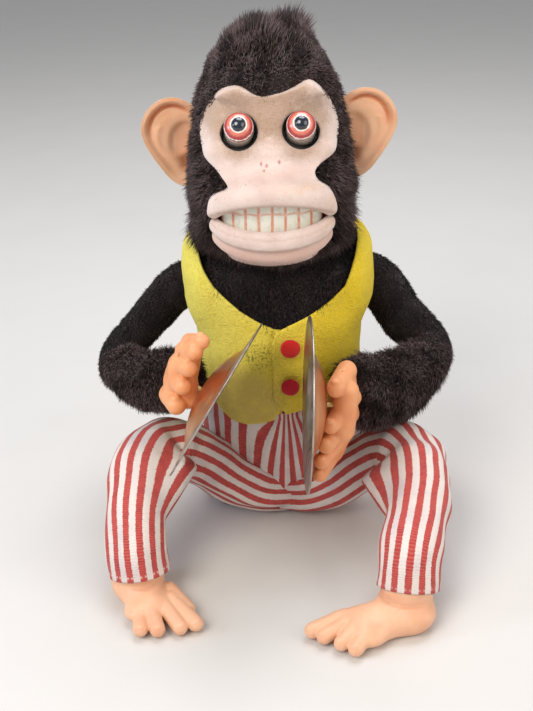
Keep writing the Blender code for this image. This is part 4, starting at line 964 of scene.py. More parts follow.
def ear_look(name, base):
    """Vinyl with painted shade: a deeper orange in its crease, bowl, notch and fold."""
    look = Look(name + "_ear_vinyl", base, 0.40, Subsurface_Weight=0.25, Subsurface_Scale=0.004,
                Subsurface_Radius=(1.0, 0.35, 0.18), Specular_IOR_Level=0.4)
    tint = look.blend(base, (0.80, 0.43, 0.24), look.step(look.noise(16.0), 0.4, 0.75))
    # Painted shade: a deeper orange where the shade attribute marks creases and hollows.
    tint = look.blend(tint, (0.62, 0.17, 0.035), look.maths("MULTIPLY", look.attribute("shade"), 0.8))
    look.colour(tint)
    look.rough(look.maths("MULTIPLY_ADD", look.noise(5.0), 0.2, 0.32))
    return look.bump(look.noise(0.45, 2.0), 0.03).material


def head_skin(look):
    """Plush backing of the head, cut away behind the felt face."""
    rows, columns = 70, 120
    levels = np.vstack([SKULL, (262.0, 0.6, 0.6, 0.6, 2.0, 2.0)])
    levels = smooth_levels(levels, rows)
    angle = np.linspace(0, 2 * math.pi, columns, endpoint=False)
    points = np.vstack([ring_point(level, angle, 1.5) for level in levels])
    points[:, 2] += 1.5 * np.clip((points[:, 2] - 209) / 52, 0, 1)
    quads = grid_faces(rows, columns, closed=True)
    middle = points[quads].mean(1)
    inside = outline_distance(middle[:, 0], middle[:, 2], face_outline(-0.6)) < 0
    quads = quads[~(inside & (middle[:, 1] < -8))]
    skin = piece("head_skin", on_neck(points), quads, look, "head", ("head_plush",))
    wall = skin.modifiers.new("wall", "SOLIDIFY")
    wall.thickness = 1.0 * MM
    wall.offset = -1.0
    return points, quads


def head_fur(looks, points, quads):
    """Long pile all over the head but the face, longest on the crown and cheeks."""
    roots, normals = sample_mesh(points, quads, 74000, 11)
    x, y, z = roots.T
    away = np.stack([x, np.zeros_like(x), z - 205], -1)
    comb = np.stack([0.35 * np.sign(x) * np.clip(np.abs(x) / 20, 0, 1), 0.25 + 0 * x, -0.85 + 0 * x], -1)
    crown = np.clip((z - 238) / 20, 0, 1)[:, None]
    comb = comb * (1 - crown) + crown * (unit(away) * 0.35 + np.array((0.25, 0.15, 0.55)))
    swirl = np.stack([smooth_noise(roots, 10.0, seed) for seed in (81, 82, 83)], -1)
    beard = np.clip((178 - z) / 12, 0, 1) * (y < 0)
    comb = unit(comb) + 0.5 * swirl + beard[:, None] * np.array((0, -0.55, -0.6))
    near_face = np.exp(-np.abs(outline_distance(x, z, face_outline())) / 4.0) * (y < -10)
    length = 6.2 - 2.4 * np.clip((z - 226) / 16, 0, 1) + 6.2 * np.clip((z - 255) / 6, 0, 1) - 1.6 * near_face
    tuft = 1.5 * (x > 2) * np.clip((z - 256) / 4, 0, 1)
    length += (2.4 + 1.2 * np.sign(x)) * np.clip((206 - z) / 18, 0, 1) + tuft
    length += 5.0 * beard
    length += 1.2 * np.exp(-((np.abs(x) - 30) / 8) ** 2 - ((z - 202) / 8) ** 2) * (y < 0)
    fur("head_fur", on_neck(roots), normals, comb, length, 0.52, looks, "head", 12,
        clump=5.2, gather=0.50, wild=0.36, stand=0.58)
    rng = np.random.default_rng(91)
    turn = rng.uniform(-1.25, 1.25, 6500)
    depth = rng.uniform(0, 1, 6500)
    roots = np.stack([(27 - 5 * depth) * np.sin(turn), -34 - (15 - 6 * depth) * np.cos(turn),
                      161.5 + 9 * (1 - np.cos(turn)) + rng.uniform(-3, 3, 6500)], -1)
    normals = unit(np.stack([np.sin(turn), -np.cos(turn), np.full(6500, -0.9)], -1))
    comb = np.stack([0.25 * np.sin(turn), np.full(6500, -0.10), np.full(6500, -1.0)], -1)
    fur("chin_fringe", on_neck(roots), normals, comb, np.full(6500, 11.5), 0.52, looks, "head", 92,
        clump=5.2, gather=0.45, wild=0.30, stand=0.30)


# ---------------------------------------------------------------- arms

ARM_PATHS = {
    "right": [(-40.0, 0, 129), (-51, 0, 127), (-61, -1, 119.5), (-75, -4, 105), (-89, -9, 90),
              (-91, -18, 85.5), (-83, -32, 87), (-71, -47, 90), (-60, -62, 98), (-51.5, -71, 105)],
    "left": [(40.0, 0, 129), (50, 0, 128.5), (59, -1, 121), (69.5, -4, 105), (82, -9, 92.5),
             (84.5, -18, 88.5), (77, -32, 86), (62.5, -46, 83), (49, -59, 86), (37, -69, 92)],
}
ARM_RADII = {
    "right": (11.5, 11.0, 10.5, 10.5, 10.5, 10.0, 11.5, 13.0, 13.5, 12.5),
    "left": (12.0, 12.0, 12.5, 12.5, 11.5, 10.5, 12.5, 16.5, 18.0, 15.5),
}


def tube(route, radii, sides, start_up=(0, 0, 1)):
    """Points and quads of a round tube along a route."""
    _, across, over = frames_along(route, start_up)
    angle = np.linspace(0, 2 * math.pi, sides, endpoint=False)[None, :, None]
    points = route[:, None] + np.reshape(radii, (-1, 1, 1)) * (np.cos(angle) * across[:, None]
                                                              + np.sin(angle) * over[:, None])
    return points.reshape(-1, 3), grid_faces(len(route), sides, closed=True, flip=True)


def capped(points, quads, sides):
    """Close both ends of a tube with a polygon."""
    last = len(points) - sides
    return quads.tolist() + [tuple(range(sides)), tuple(reversed(range(last, len(points))))]


def rounded_cuff(points, quads, centre, sides):
    """Close a sleeve's open end over with two shrinking rings, so that pile grows on it too."""
    last = points[-sides:]
    out = unit(centre - points[-5 * sides:-4 * sides].mean(0))
    rings = [centre + share * (last - centre) + out * reach for share, reach in ((0.74, 2.4), (0.42, 3.6))]
    more = grid_faces(3, sides, closed=True, flip=True) + len(points) - sides
    return np.vstack([points] + rings), np.vstack([quads, more]), more


def arms(pile, nap, backing):
    """Stuffed sleeves: short dark nap on the upper arms, longer brown pile on the forearms."""
    for name, _ in SIDES:
        body = name + "_arm"
        route = curve(ARM_PATHS[name], 64)
        radii = np.interp(np.linspace(0, 9, 64), np.arange(10), ARM_RADII[name])
        radii = radii + 0.5 * smooth_noise(route, 14.0, 31)
        points, quads = tube(route, radii, 40)
        points = points + 0.5 * smooth_noise(points, 9.0, 32)[:, None] * np.array((0.6, 0.5, 0.6))
        points, quads, cuff = rounded_cuff(points, quads, route[-1], 40)
        skin = piece(name + "_sleeve", points, capped(points, quads, 40), backing, body,
                     (name + "_upper_sleeve", name + "_forearm_sleeve"))
        tangents = unit(np.gradient(route, axis=0))
        for label, first, last, looks, slot, long, thick, count in (
                ("_upper_nap", 4, 37, nap, "body_plush", 3.0, 0.46, 14500),
                ("_forearm_pile", 35, 64, pile, "head_plush", 6.4, 0.50, 15000)):
            some = quads[first * 40:(last - 1) * 40]
            if last == 64:
                some = np.vstack([some, cuff])
            roots, normals = sample_mesh(points, some, count, 41 if long > 4 else 42)
            station = nearest(roots, route, 1.0)
            comb = tangents[station] * 0.7 + np.array((0, -0.1, -0.7))
            length = long * np.ones(count)
            if long > 4:
                length = length * (0.45 + 0.55 * np.clip((station - 35) / 8, 0, 1))
                length = length * (1 - 0.15 * np.clip((station - 58) / 6, 0, 1))
            fur(name + label, roots, normals, comb, length, thick, looks, body, 43, clump=3.6 if long > 4 else 2.6,
                gather=0.42 if long > 4 else 0.25, wild=0.30, stand=0.60 if long > 4 else 0.42)


# ---------------------------------------------------------------- chest and vest

VEST = np.vstack([CHEST[:7], np.array([
    (150.0, 45.8, 41.0, 37.0, 2.6, 2.6), (155.5, 42.5, 34.5, 33.0, 2.5, 2.5), (158.5, 36.0, 27.0, 27.0, 2.3, 2.3),
    (159.5, 20.0, 18.0, 18.0, 2.0, 2.0),
])])
NECKLINE = [(-47, 172), (-44, 158), (-39, 146), (-33.8, 138.2), (-27, 132.0), (-20.8, 126.8), (-10.4, 120.2),
            (-3.0, 116.6), (0.0, 116.0), (7.5, 119.8), (18.1, 125.4), (27, 130.5), (34.6, 136.8), (38.5, 146),
            (43.5, 158), (47, 172)]
HEM = ((-60, -45, -37.5, -32.3, -27.5, -19.9, -11.0, -3.8, 0.5, 2.8, 11.0, 30.0, 45.0, 60.0),
       (70.0, 71.5, 70.7, 64.8, 60.9, 59.2, 59.5, 62.2, 68.2, 66.9, 68.2, 66.0, 68.0, 70.0))
PLACKET = ((56.0, 68.5, 76.0, 108.0, 116.0, 124.0), (2.0, 1.5, -4.4, -4.6, -2.2, -1.0))


def chest(nap, backing):
    """Plush body under the vest, with nap where it shows at the neck and armholes."""
    levels = smooth_levels(np.vstack([CHEST, (151.9, 0.5, 0.5, 0.5, 2.0, 2.0)]), 70)
    angle = np.linspace(0, 2 * math.pi, 110, endpoint=False)
    points = np.vstack([ring_point(level, angle, -0.6) for level in levels])
    crease = np.exp(-((points[:, 0] + 5.0) / 1.6) ** 2) * (points[:, 1] < -20)
    points[:, 1] += 1.4 * crease + 0.7 * smooth_noise(points, 10.0, 51)
    quads = grid_faces(70, 110, closed=True)
    bottom = tuple(reversed(range(110)))
    skin = piece("chest_skin", points, quads.tolist() + [bottom, tuple(range(69 * 110, 70 * 110))], backing, "base",
                 ("chest_plush",))
    middle = points[quads].mean(1)
    scoop = outline_distance(middle[:, 0], middle[:, 2], np.array(NECKLINE, float)) < 3.0
    top = middle[:, 2] > 146
    hole = (np.abs(middle[:, 0]) > 38) & (np.abs(middle[:, 1]) < 17) & (np.abs(middle[:, 2] - 132) < 20)
    shown = quads[(scoop & (middle[:, 1] < -8)) | top | hole]
    roots, normals = sample_mesh(points, shown, 24000, 52)
    comb = np.stack([-0.15 * np.sign(roots[:, 0] + 5), 0 * roots[:, 0], -0.9 + 0 * roots[:, 0]], -1)
    fur("chest_nap", roots, normals, comb, np.full(24000, 4.2), 0.50, nap, "base", 53, clump=3.4, gather=0.40,
        wild=0.34, stand=0.5)


def vest_look():
    """Pressed yellow felt, paler on one side as painted light, fuzzy, pilled, and browner in a patch at the front hem.
    """
    look = Look("vest_felt", (0.78, 0.60, 0.05), 0.96, Sheen_Weight=0.30, Sheen_Roughness=0.5,
                Sheen_Tint=(1.0, 0.9, 0.4, 1.0), Specular_IOR_Level=0.15)
    # Painted light: paler felt on the -X side, more golden on the +X side, as the light falls.
    side = look.step(look.axis("X"), -0.045, 0.035)
    base = look.blend((0.86, 0.76, 0.14), (0.86, 0.63, 0.03), side)
    dull = look.maths("MULTIPLY", look.step(look.noise(5.0, 5.0), 0.42, 0.75), 0.5)
    base = look.blend(base, (0.76, 0.60, 0.07), dull)
    front = look.step(look.maths("MULTIPLY", look.axis("Y"), -1.0), 0.030, 0.040)
    # A browner patch near the front hem on the -X side.
    brown_patch = look.maths("MULTIPLY", look.near((-19, -47, 72), 12.0, 16.0), look.step(look.noise(8.0, 4.0), 0.10, 0.60))
    base = look.blend(base, (0.58, 0.43, 0.15), look.maths("MULTIPLY", look.maths("MULTIPLY", brown_patch, front), 0.70))
    pills = look.step(look.noise(1.3, 3.0), 0.50, 0.62)
    rubbed = look.maths("MULTIPLY", pills, look.near((-11, -46, 101), 5.0, 7.0))
    base = look.blend(base, (0.24, 0.19, 0.03), look.maths("MULTIPLY", rubbed, 0.8))
    fuzz = look.maths("MULTIPLY", look.step(look.noise(0.8, 4.0), 0.40, 0.72), 0.45)
    base = look.blend(base, (0.58, 0.43, 0.035), fuzz)
    look.colour(base)
    look.bump(look.noise(0.8, 5.0), 0.85)
    return look.bump(look.noise(3.2, 3.0), 0.7).material


def vest(look):
    """Three felt panels: back, right front and the left front that laps it."""
    step = 0.66
    low, high = (-58.0, -54.0, 56.0), (58.0, 48.0, 162.0)
    place = field_box(low, high, step)
    x, y, z = place
    chest_gap = shape_distance(VEST, place)
    flare = np.clip((z - 108) / 16, 0, 1) * np.clip((np.abs(x) - 34) / 10, 0, 1)
    waves = 0.5 * np.sin(x / 7.0 + z / 11.0 + 1.0) * np.sin(z / 8.0 - x / 15.0) + 0.35 * np.sin(z / 5.0 + x / 6.5)
    off = chest_gap - 3.6 * flare - waves - 0.5
    neck = outline_distance(x[:, 0, :], z[:, 0, :], np.array(NECKLINE, float))[:, None, :]
    nape = np.sqrt((x / 39.0) ** 2 + ((y - 4) / 31.0) ** 2)
    arm_hole = np.sqrt((y / 13.5) ** 2 + ((z - 132) / 16.5) ** 2)
    hem = np.interp(x[:, 0, 0], *HEM)[:, None, None]
    back_hem = 66.5 + 1.2 * np.sin(x / 12.0)
    edge = np.interp(z[0, 0, :], *PLACKET)[None, None, :] + 0 * x
    armhole_field = np.where(np.abs(x) > 36, (arm_hole - 1) * 14.0, 20.0)

    shell = np.maximum(off - 2.0, 0.1 - off)
    under = np.clip((x - edge + 3.0) / 4.0, 0, 1)
    tucked = np.maximum(off - 2.0 + 0.9 * under, 0.1 - off)
    lift = 1.2 * np.clip(1 - (x - edge) / 7.0, 0, 1)
    lapped = np.maximum(off - 2.0 - lift, 0.1 + lift - off)
    collar = np.where(z > 144, (nape - 1) * 30.0, 20.0)
    front_cuts = (np.where(y < -4, neck, 20.0), armhole_field, collar)
    for name, field, extra, flat in (
            ("vest_back_felt", shell, (z * 0 + back_hem - z, -(y - 1.6)), (0.150, 0.090)),
            ("vest_right_felt", tucked, (hem - z, y - 1.4, x - edge - 2.5), (0.072, 0.095)),
            ("vest_left_felt", lapped, (hem - z, y - 1.4, edge - x), (0.075, 0.095))):
        whole = field
        for cut in extra:
            whole = np.maximum(whole, cut)
        for cut in (front_cuts if "back" not in name else (armhole_field, collar)):
            whole = np.maximum(whole, -cut)
        points, quads = surface(whole.astype(np.float32), low, step)
        points = relax(points, quads, 3)
        node = {"vest_back_felt": "vest_back", "vest_right_felt": "vest_right_front",
                "vest_left_felt": "vest_left_front"}[name]
        felt = piece(name, points, quads, look, "base", (node,))


def buttons():
    """Two round felt buttons on the left front."""
    for label, place, radius, colour in (("upper", (5.2, -48.7, 107.0), 5.3, (0.66, 0.022, 0.018)),
                                         ("lower", (4.8, -49.9, 84.6), 4.9, (0.50, 0.014, 0.028))):
        look = Look(label + "_button_felt", colour, 0.92, Sheen_Weight=0.3, Specular_IOR_Level=0.15)
        look.colour(look.blend(colour, tuple(0.6 * c for c in colour), look.step(look.noise(1.5, 4.0), 0.5, 0.8)))
        look.bump(look.noise(0.5, 4.0), 0.22)
        profile = [(radius - 0.4, 0.0), (radius, 0.5), (radius - 0.1, 1.3), (radius - 0.9, 1.75), (radius * 0.5, 1.95),
                   (0.3, 2.0)]
        points, faces = lathe(profile, place, (0, -1, 0), 40)
        points[:, 1] += 0.12 * smooth_noise(points, 4.0, 61)
        piece(label + "_button_disc", points, faces, look.material, "base", (label + "_button",))


# ---------------------------------------------------------------- hands and cymbals

CYMBALS = {
    "right": (np.array((-33.0, -94.0, 102.5)), unit((0.841, -0.223, -0.494))),
    "left": (np.array((12.5, -98.0, 99.9)), unit((-0.998, 0.0, 0.046))),
}
HANDS = {
    "right": {
        "palm": ((-49.5, -83.5, 113.0), (0.40, 0.0, 0.92), (21.0, 7.0, 10.5)),
        "wrist": (-52.5, -74.0, 107.0), "heel": ((-50.0, -90.0, 118.0), (-46.5, -91.0, 103.0)),
        "digits": [((-45, -85, 130), (-38, -99, 136.5), 4.2), ((-48, -85, 125.5), (-41.5, -100, 131.5), 4.5),
                   ((-51, -85, 118.5), (-45.0, -100, 123.0), 4.9), ((-54, -85, 109), (-48.5, -99, 112.8), 5.0),
                   ((-57, -83, 100), (-52.3, -98, 101.8), 5.3)],
    },
    "left": {
        "palm": ((29.5, -85.0, 88.0), (0.13, 0.04, 0.99), (28.0, 7.0, 11.0)),
        "wrist": (33.0, -73.0, 92.0), "heel": ((31.0, -96.5, 106.0), (29.0, -99.0, 86.0)),
        "digits": [((32, -86, 112), (25.5, -102, 111.0), 5.2), ((35, -86, 97), (22.8, -106, 92.6), 4.7),
                   ((34, -85, 87), (20.6, -106, 81.5), 4.8), ((32, -85, 77), (18.5, -105, 71.5), 4.5),
                   ((28, -84, 67), (17.6, -102, 62.0), 4.3)],
    },
}


def hands(look):
    """Soft cupped hands whose stubby digits curl forward, with nails and knuckle creases."""
    step = 0.55
    for name, spec in HANDS.items():
        centre, along, radii = spec["palm"]
        centre, along = np.array(centre), unit(along)
        normal = CYMBALS[name][1]
        normal = unit(normal - normal.dot(along) * along)
        turn = np.array([along, normal, np.cross(along, normal)])
        ends = np.array([centre] + [end for digit in spec["digits"] for end in digit[:2]] + [spec["wrist"]])
        low, high = ends.min(0) - 18, ends.max(0) + 18
        place = field_box(low, high, step)
        body = ellipsoid(place, centre, radii, turn)
        body = join(body, capsule(place, spec["wrist"], centre, 7.0, 6.5), 5.0)
        low_end, high_end = spec["heel"]
        body = join(body, capsule(place, low_end, high_end, 6.4, 6.4), 3.0)
        for base, tip, radius in spec["digits"]:
            base, tip = np.array(base, float), np.array(tip, float)
            ahead = unit(tip - base)
            finger = capsule(place, base, tip, radius * 0.98, radius * 0.90)
            body = join(body, finger, 1.6)
            up = unit(np.array((0, -0.25, 1.0)) - ahead * ahead.dot(np.array((0, -0.25, 1.0))))
            flat = (radius * 0.5, radius * 0.5, radius * 0.34)
            nail = ellipsoid(place, tip + up * (radius * 0.80) + ahead * 0.8, flat)
            body = join(body, nail, 0.7)
            fold = base + 0.45 * (tip - base) + up * (radius * 1.12)
            body = carve(body, capsule(place, fold - along * 2.2, fold + along * 2.2, 0.55), 1.2)
        points, quads = surface(body.astype(np.float32), low, step)
        points = relax(points, quads, 2)
        piece(name + "_soft_hand", points, quads, look, name + "_arm", (name + "_hand",))


def cymbal_look():
    """Worn nickel plate: rings of fine turning, brown streaks and a painted orange reflection of the hand on the dome
    side.
    """
    look = Look("nickel_plate", (0.60, 0.56, 0.51), 0.26, metallic=1.0)
    radius, outer = look.attribute("radius"), look.attribute("outer")
    drift = look.maths("MULTIPLY", look.noise(9.0), 6.0)
    turning = look.maths("SINE", look.maths("MULTIPLY_ADD", radius, 9.0, drift))
    streak = look.step(look.noise(5.0, 5.0, (1.0, 1.0, 0.22)), 0.40, 0.72)
    tint = look.blend((0.50, 0.46, 0.42), (0.22, 0.17, 0.13), look.maths("MULTIPLY", streak, 0.75))
    # Painted reflection: the dome side is tinted orange like the hand that faces it.
    tint = look.blend(tint, (0.66, 0.31, 0.12), look.maths("MULTIPLY", outer, 0.9))
    look.colour(tint)
    look.rough(look.maths("MULTIPLY_ADD", streak, 0.18, look.maths("MULTIPLY_ADD", turning, 0.03, 0.34)))
    return look.bump(turning, 0.012).material


def cymbals(look):
    """Thin spun dishes with a central dome and a rolled rim."""
    for name, (centre, normal) in CYMBALS.items():
        rim = [(43.7, 0.25), (43.9, 0.0), (43.7, -0.45)]
        face = [(radius, 1.6 * (43.7 - radius) / 17.7) for radius in np.linspace(43.0, 28.5, 8)]
        bell = [(radius, 1.5 + 7.4 * (1 - (radius / 27.0) ** 2) ** 0.85) for radius in np.linspace(26.6, 0.6, 20)]
        outer = [(43.7, 0.25)] + face + bell
        inner = [(radius * 0.995, height - 0.75) for radius, height in reversed(outer)]
        profile = outer + inner[:-1] + [rim[2], rim[1]]
        profile.append(profile[0])
        points, faces = lathe(profile[:-1], centre, -normal, 96, ends=(False, False))
        rows = len(profile) - 1
        last = np.arange((rows - 1) * 96, rows * 96)
        faces += [(int(a), int(b), int(c), int(d)) for a, b, c, d in zip(
            last, np.roll(last, -1), np.roll(np.arange(96), -1), np.arange(96))]
        radius = np.repeat([p[0] for p in profile[:-1]], 96)
        side = np.repeat([1.0] * len(outer) + [0.0] * (rows - len(outer)), 96)
        # Painted reflection of the hand, on the dome side, strongest towards the dome.
        hand_reflection = side * np.clip((40 - radius) / 12, 0.25, 1)
        piece(name + "_cymbal_dish", points, faces, look, name + "_cymbal_disc", (name + "_cymbal",),
              values={"radius": radius, "outer": hand_reflection})


# ---------------------------------------------------------------- trousers

LEG_PATHS = {
    "right": [(4, -39, 12), (-14, -45, 17), (-29, -49, 28), (-43, -50, 40), (-57, -54, 50), (-68.5, -62, 54),
              (-75, -75, 51), (-76.5, -91, 43), (-77, -103, 35), (-76.5, -111, 26), (-75.5, -114.5, 14.5)],
    "left": [(1, -39, 11), (18, -45, 15), (31, -50, 24), (44, -51, 35), (57, -54, 44), (66, -62, 48),
             (70.5, -75, 47), (69.5, -94, 42), (65, -113, 37), (60.5, -129, 31), (58.8, -136, 17.0)],
}
LEG_RADII = (11.0, 12.6, 14.0, 15.2, 16.2, 16.6, 16.4, 16.0, 15.6, 15.4, 15.6)
LEG_FOLDS = {
    # Pointed fold at the inner knee: its ridge from corner to shin, and how far it stands out.
    "right": ((-60.0, -80.0, 53.0), (-66.0, -100.0, 38.0), (1.0, -0.25, 0.22), 15.0),
    "left": ((55.0, -82.0, 43.0), (53.0, -104.0, 36.0), (-1.0, -0.25, 0.20), 15.0),
}
STRIPE_COUNT = 14


def stripe_look():
    """Woven stripes in brick red and off-white with a rib across them."""
    look = Look("striped_cotton", (0.6, 0.3, 0.25), 0.92, Sheen_Weight=0.12, Specular_IOR_Level=0.15)
    phase = look.attribute("stripe")
    ragged = look.maths("MULTIPLY_ADD", look.noise(0.8, 2.0), 0.16, -0.08)
    wave = look.maths("SINE", look.maths("MULTIPLY", look.maths("ADD", phase, ragged), 2 * math.pi))
    band = look.step(wave, -0.16, 0.16)
    white = look.blend((0.72, 0.65, 0.60), (0.58, 0.53, 0.53), look.step(look.noise(16.0, 3.0), 0.4, 0.75))
    red = look.blend((0.47, 0.048, 0.040), (0.36, 0.030, 0.030), look.step(look.noise(3.0, 4.0), 0.4, 0.75))
    tint = look.blend(white, red, band)
    rib = look.maths("SINE", look.maths("MULTIPLY", look.attribute("along"), 2 * math.pi / 0.85))
    thread = look.maths("MULTIPLY_ADD", rib, 0.5, 0.5)
    tint = look.blend(tint, (0.70, 0.50, 0.44), look.maths("MULTIPLY", thread, 0.14))
    stitch = look.maths("MULTIPLY", look.attribute("hem"), look.step(look.maths("SINE", look.maths(
        "MULTIPLY", phase, 2 * math.pi * 3.0)), -0.2, 0.3))
    tint = look.blend(tint, (0.78, 0.55, 0.50), look.maths("MULTIPLY", stitch, 0.8))
    look.colour(tint)
    look.bump(thread, 0.10)
    look.bump(look.noise(0.7, 3.0), 0.16)
    return look.bump(look.noise(5.0, 3.0), 0.45).material


def folded(points, name):
    """Crease of a trouser leg: the pointed fold at the inner knee."""
    corner, shin, way, far = (np.array(part, float) for part in LEG_FOLDS[name])
    along = shin - corner
    share = np.clip((points - corner) @ along / (along @ along), 0, 1)
    gap = np.linalg.norm(points - corner - share[:, None] * along, axis=1)
    push = float(far) * np.exp(-(gap / 9.0) ** 2) * (1 - share) ** 0.9
    return points + push[:, None] * unit(way)


def trouser_leg(name, side, look):
    """One leg: a thin closed tube with stripes that run along it, soft folds and a stitched hem."""
    rows, sides = 120, 168
    route = curve(LEG_PATHS[name], rows)
    radii = np.interp(np.linspace(0, 10, rows), np.arange(11), LEG_RADII)
    start = (0, -0.5, 1)
    outer, quads = tube(route, radii, sides, start)
    angle = np.tile(np.arange(sides) / sides, rows)
    length = np.concatenate([[0], np.cumsum(np.linalg.norm(np.diff(route, axis=0), axis=1))])
    along = np.repeat(length, sides)
    centre = np.repeat(route, sides, axis=0)
    out = unit(outer - centre)
    share = along / length[-1]
    # Long soft folds run down the thigh, and cross folds gather behind the knee.
    thigh = np.clip(1 - share / 0.45, 0, 1)
    fold = 1.7 * thigh * np.sin(2 * math.pi * 5 * angle + 5.0 * share * side + 0.7)
    knee = np.exp(-((share - 0.50) / 0.11) ** 2)
    fold += 1.1 * knee * np.sin(along / 2.6 + 3.0 * np.sin(2 * math.pi * angle))
    fold += 0.7 * smooth_noise(outer, 12.0, 71 if side < 0 else 72)
    fold *= np.clip((1.02 - share) / 0.06, 0.15, 1)
    outer = folded(outer + fold[:, None] * out, name)
    outer[:, 2] = np.maximum(outer[:, 2], 1.6)
    inner = outer - out * 1.0
    points = np.vstack([outer, inner])
    half = rows * sides
    back = quads[:, ::-1] + half
    ends = []
    for row, flip in ((0, False), (rows - 1, True)):
        a = row * sides + np.arange(sides)
        b = np.roll(a, -1)
        ends.append(np.stack([a, b, b + half, a + half], -1)[:, ::(-1 if flip else 1)])
    hem = np.exp(-((length[-1] - along - 3.0) / 0.35) ** 2)
    values = {"stripe": np.tile(STRIPE_COUNT * np.abs(2 * angle - 1) / 2 + 0.25, 2), "along": np.tile(along, 2),
              "hem": np.tile(hem, 2)}
    leg = piece(name + "_leg_cloth", points, np.vstack([quads, back] + ends), look, "base",
                (name + "_trouser_leg",), values=values)


def trouser_seat(look):
    """Seat of the trousers: upright stripes, and folds that fan from the front seam."""
    rows, sides = 110, 420
    levels = np.vstack([[(0.8, 34.0, 33.0, 33.0, 3.0, 3.0), (1.6, 41.0, 41.0, 40.0, 3.4, 3.4),
                         (5.0, 44.5, 45.6, 43.0, 3.8, 4.0)], SEAT[1:], [(67.0, 43.0, 44.2, 38.6, 3.0, 3.0)]])
    levels = smooth_levels(levels, rows)
    angle = np.linspace(0, 2 * math.pi, sides, endpoint=False) + math.pi / 2
    outer = np.vstack([ring_point(level, angle, 0.3) for level in levels])
    rings = outer.reshape(rows, sides, 3)
    mid = rings[rows // 2]
    arc = np.concatenate([[0], np.cumsum(np.linalg.norm(np.diff(mid, axis=0), axis=1))])
    phase = np.tile(arc / 6.9, rows)
    x, y, z = outer.T
    # Folds leave the front seam at the waist and open downward.
    seam = 3.0 + 0.03 * (60 - z)
    reach = np.abs(x - seam)
    front = np.clip((-y - 20) / 15, 0, 1)
    spread = 0.30 + 0.95 * np.clip((64 - z) / 60, 0, 1)
    gain = 1 + (1 / spread - 1) * np.exp(-(reach / 13.0) ** 2)
    fanned = (x - seam) * gain
    depth = 1.9 * np.sin(fanned * 0.50) ** 2 * np.exp(-(reach / 15.0) ** 2) - 1.8 * np.exp(-(reach / 1.3) ** 2)
    fold = front * (depth + 0.9 * np.sin(x / 4.6 + 0.02 * z) * np.clip((z - 20) / 30, 0.2, 1))
    fold += 0.6 * smooth_noise(outer, 11.0, 73)
    fold *= np.clip((z - 1.0) / 4.0, 0.0, 1)
    centre = np.stack([0 * x, 0 * y, z], -1)
    out = unit(outer - centre)
    outer = outer + fold[:, None] * out
    phase = np.where(front > 0, fanned / 6.9, phase)
    inner = outer - out * 1.0
    quads = grid_faces(rows, sides, closed=True)
    half = rows * sides
    back = quads[:, ::-1] + half
    ends = []
    for row, flip in ((0, True), (rows - 1, False)):
        a = row * sides + np.arange(sides)
        b = np.roll(a, -1)
        ends.append(np.stack([a, a + half, b + half, b], -1)[:, ::(1 if flip else -1)])
    cloth = piece("trouser_seat_cloth", np.vstack([outer, inner]), np.vstack([quads, back] + ends), look, "base",
                  ("trouser_seat",),
                  values={"stripe": np.tile(phase, 2), "along": np.tile(z, 2), "hem": np.zeros(2 * half)})


# ---------------------------------------------------------------- feet

FEET = {
    "right": {"heel": (-85.5, -104), "ball": (-66, -137), "ankle": (-76, -114.5), "top": 14.0, "outer": 0,
              "toes": [((-74, -133), (-72.8, -147.5), 4.4), ((-68.5, -136), (-64.5, -148), 4.5),
                       ((-61, -134), (-53.5, -147), 4.4), ((-57, -130), (-46, -144.5), 4.6),
                       ((-59, -122), (-50.5, -133.5), 4.6)]},
    "left": {"heel": (72, -142), "ball": (31, -152.5), "ankle": (58.8, -137.0), "top": 15.8, "outer": -1,
             "toes": [((24, -146), (11.0, -152.0), 4.6), ((26, -150), (16.5, -156.5), 4.4),
                      ((30, -155), (24.5, -161.5), 4.4), ((36, -158), (31.0, -165.5), 4.5)]},
}


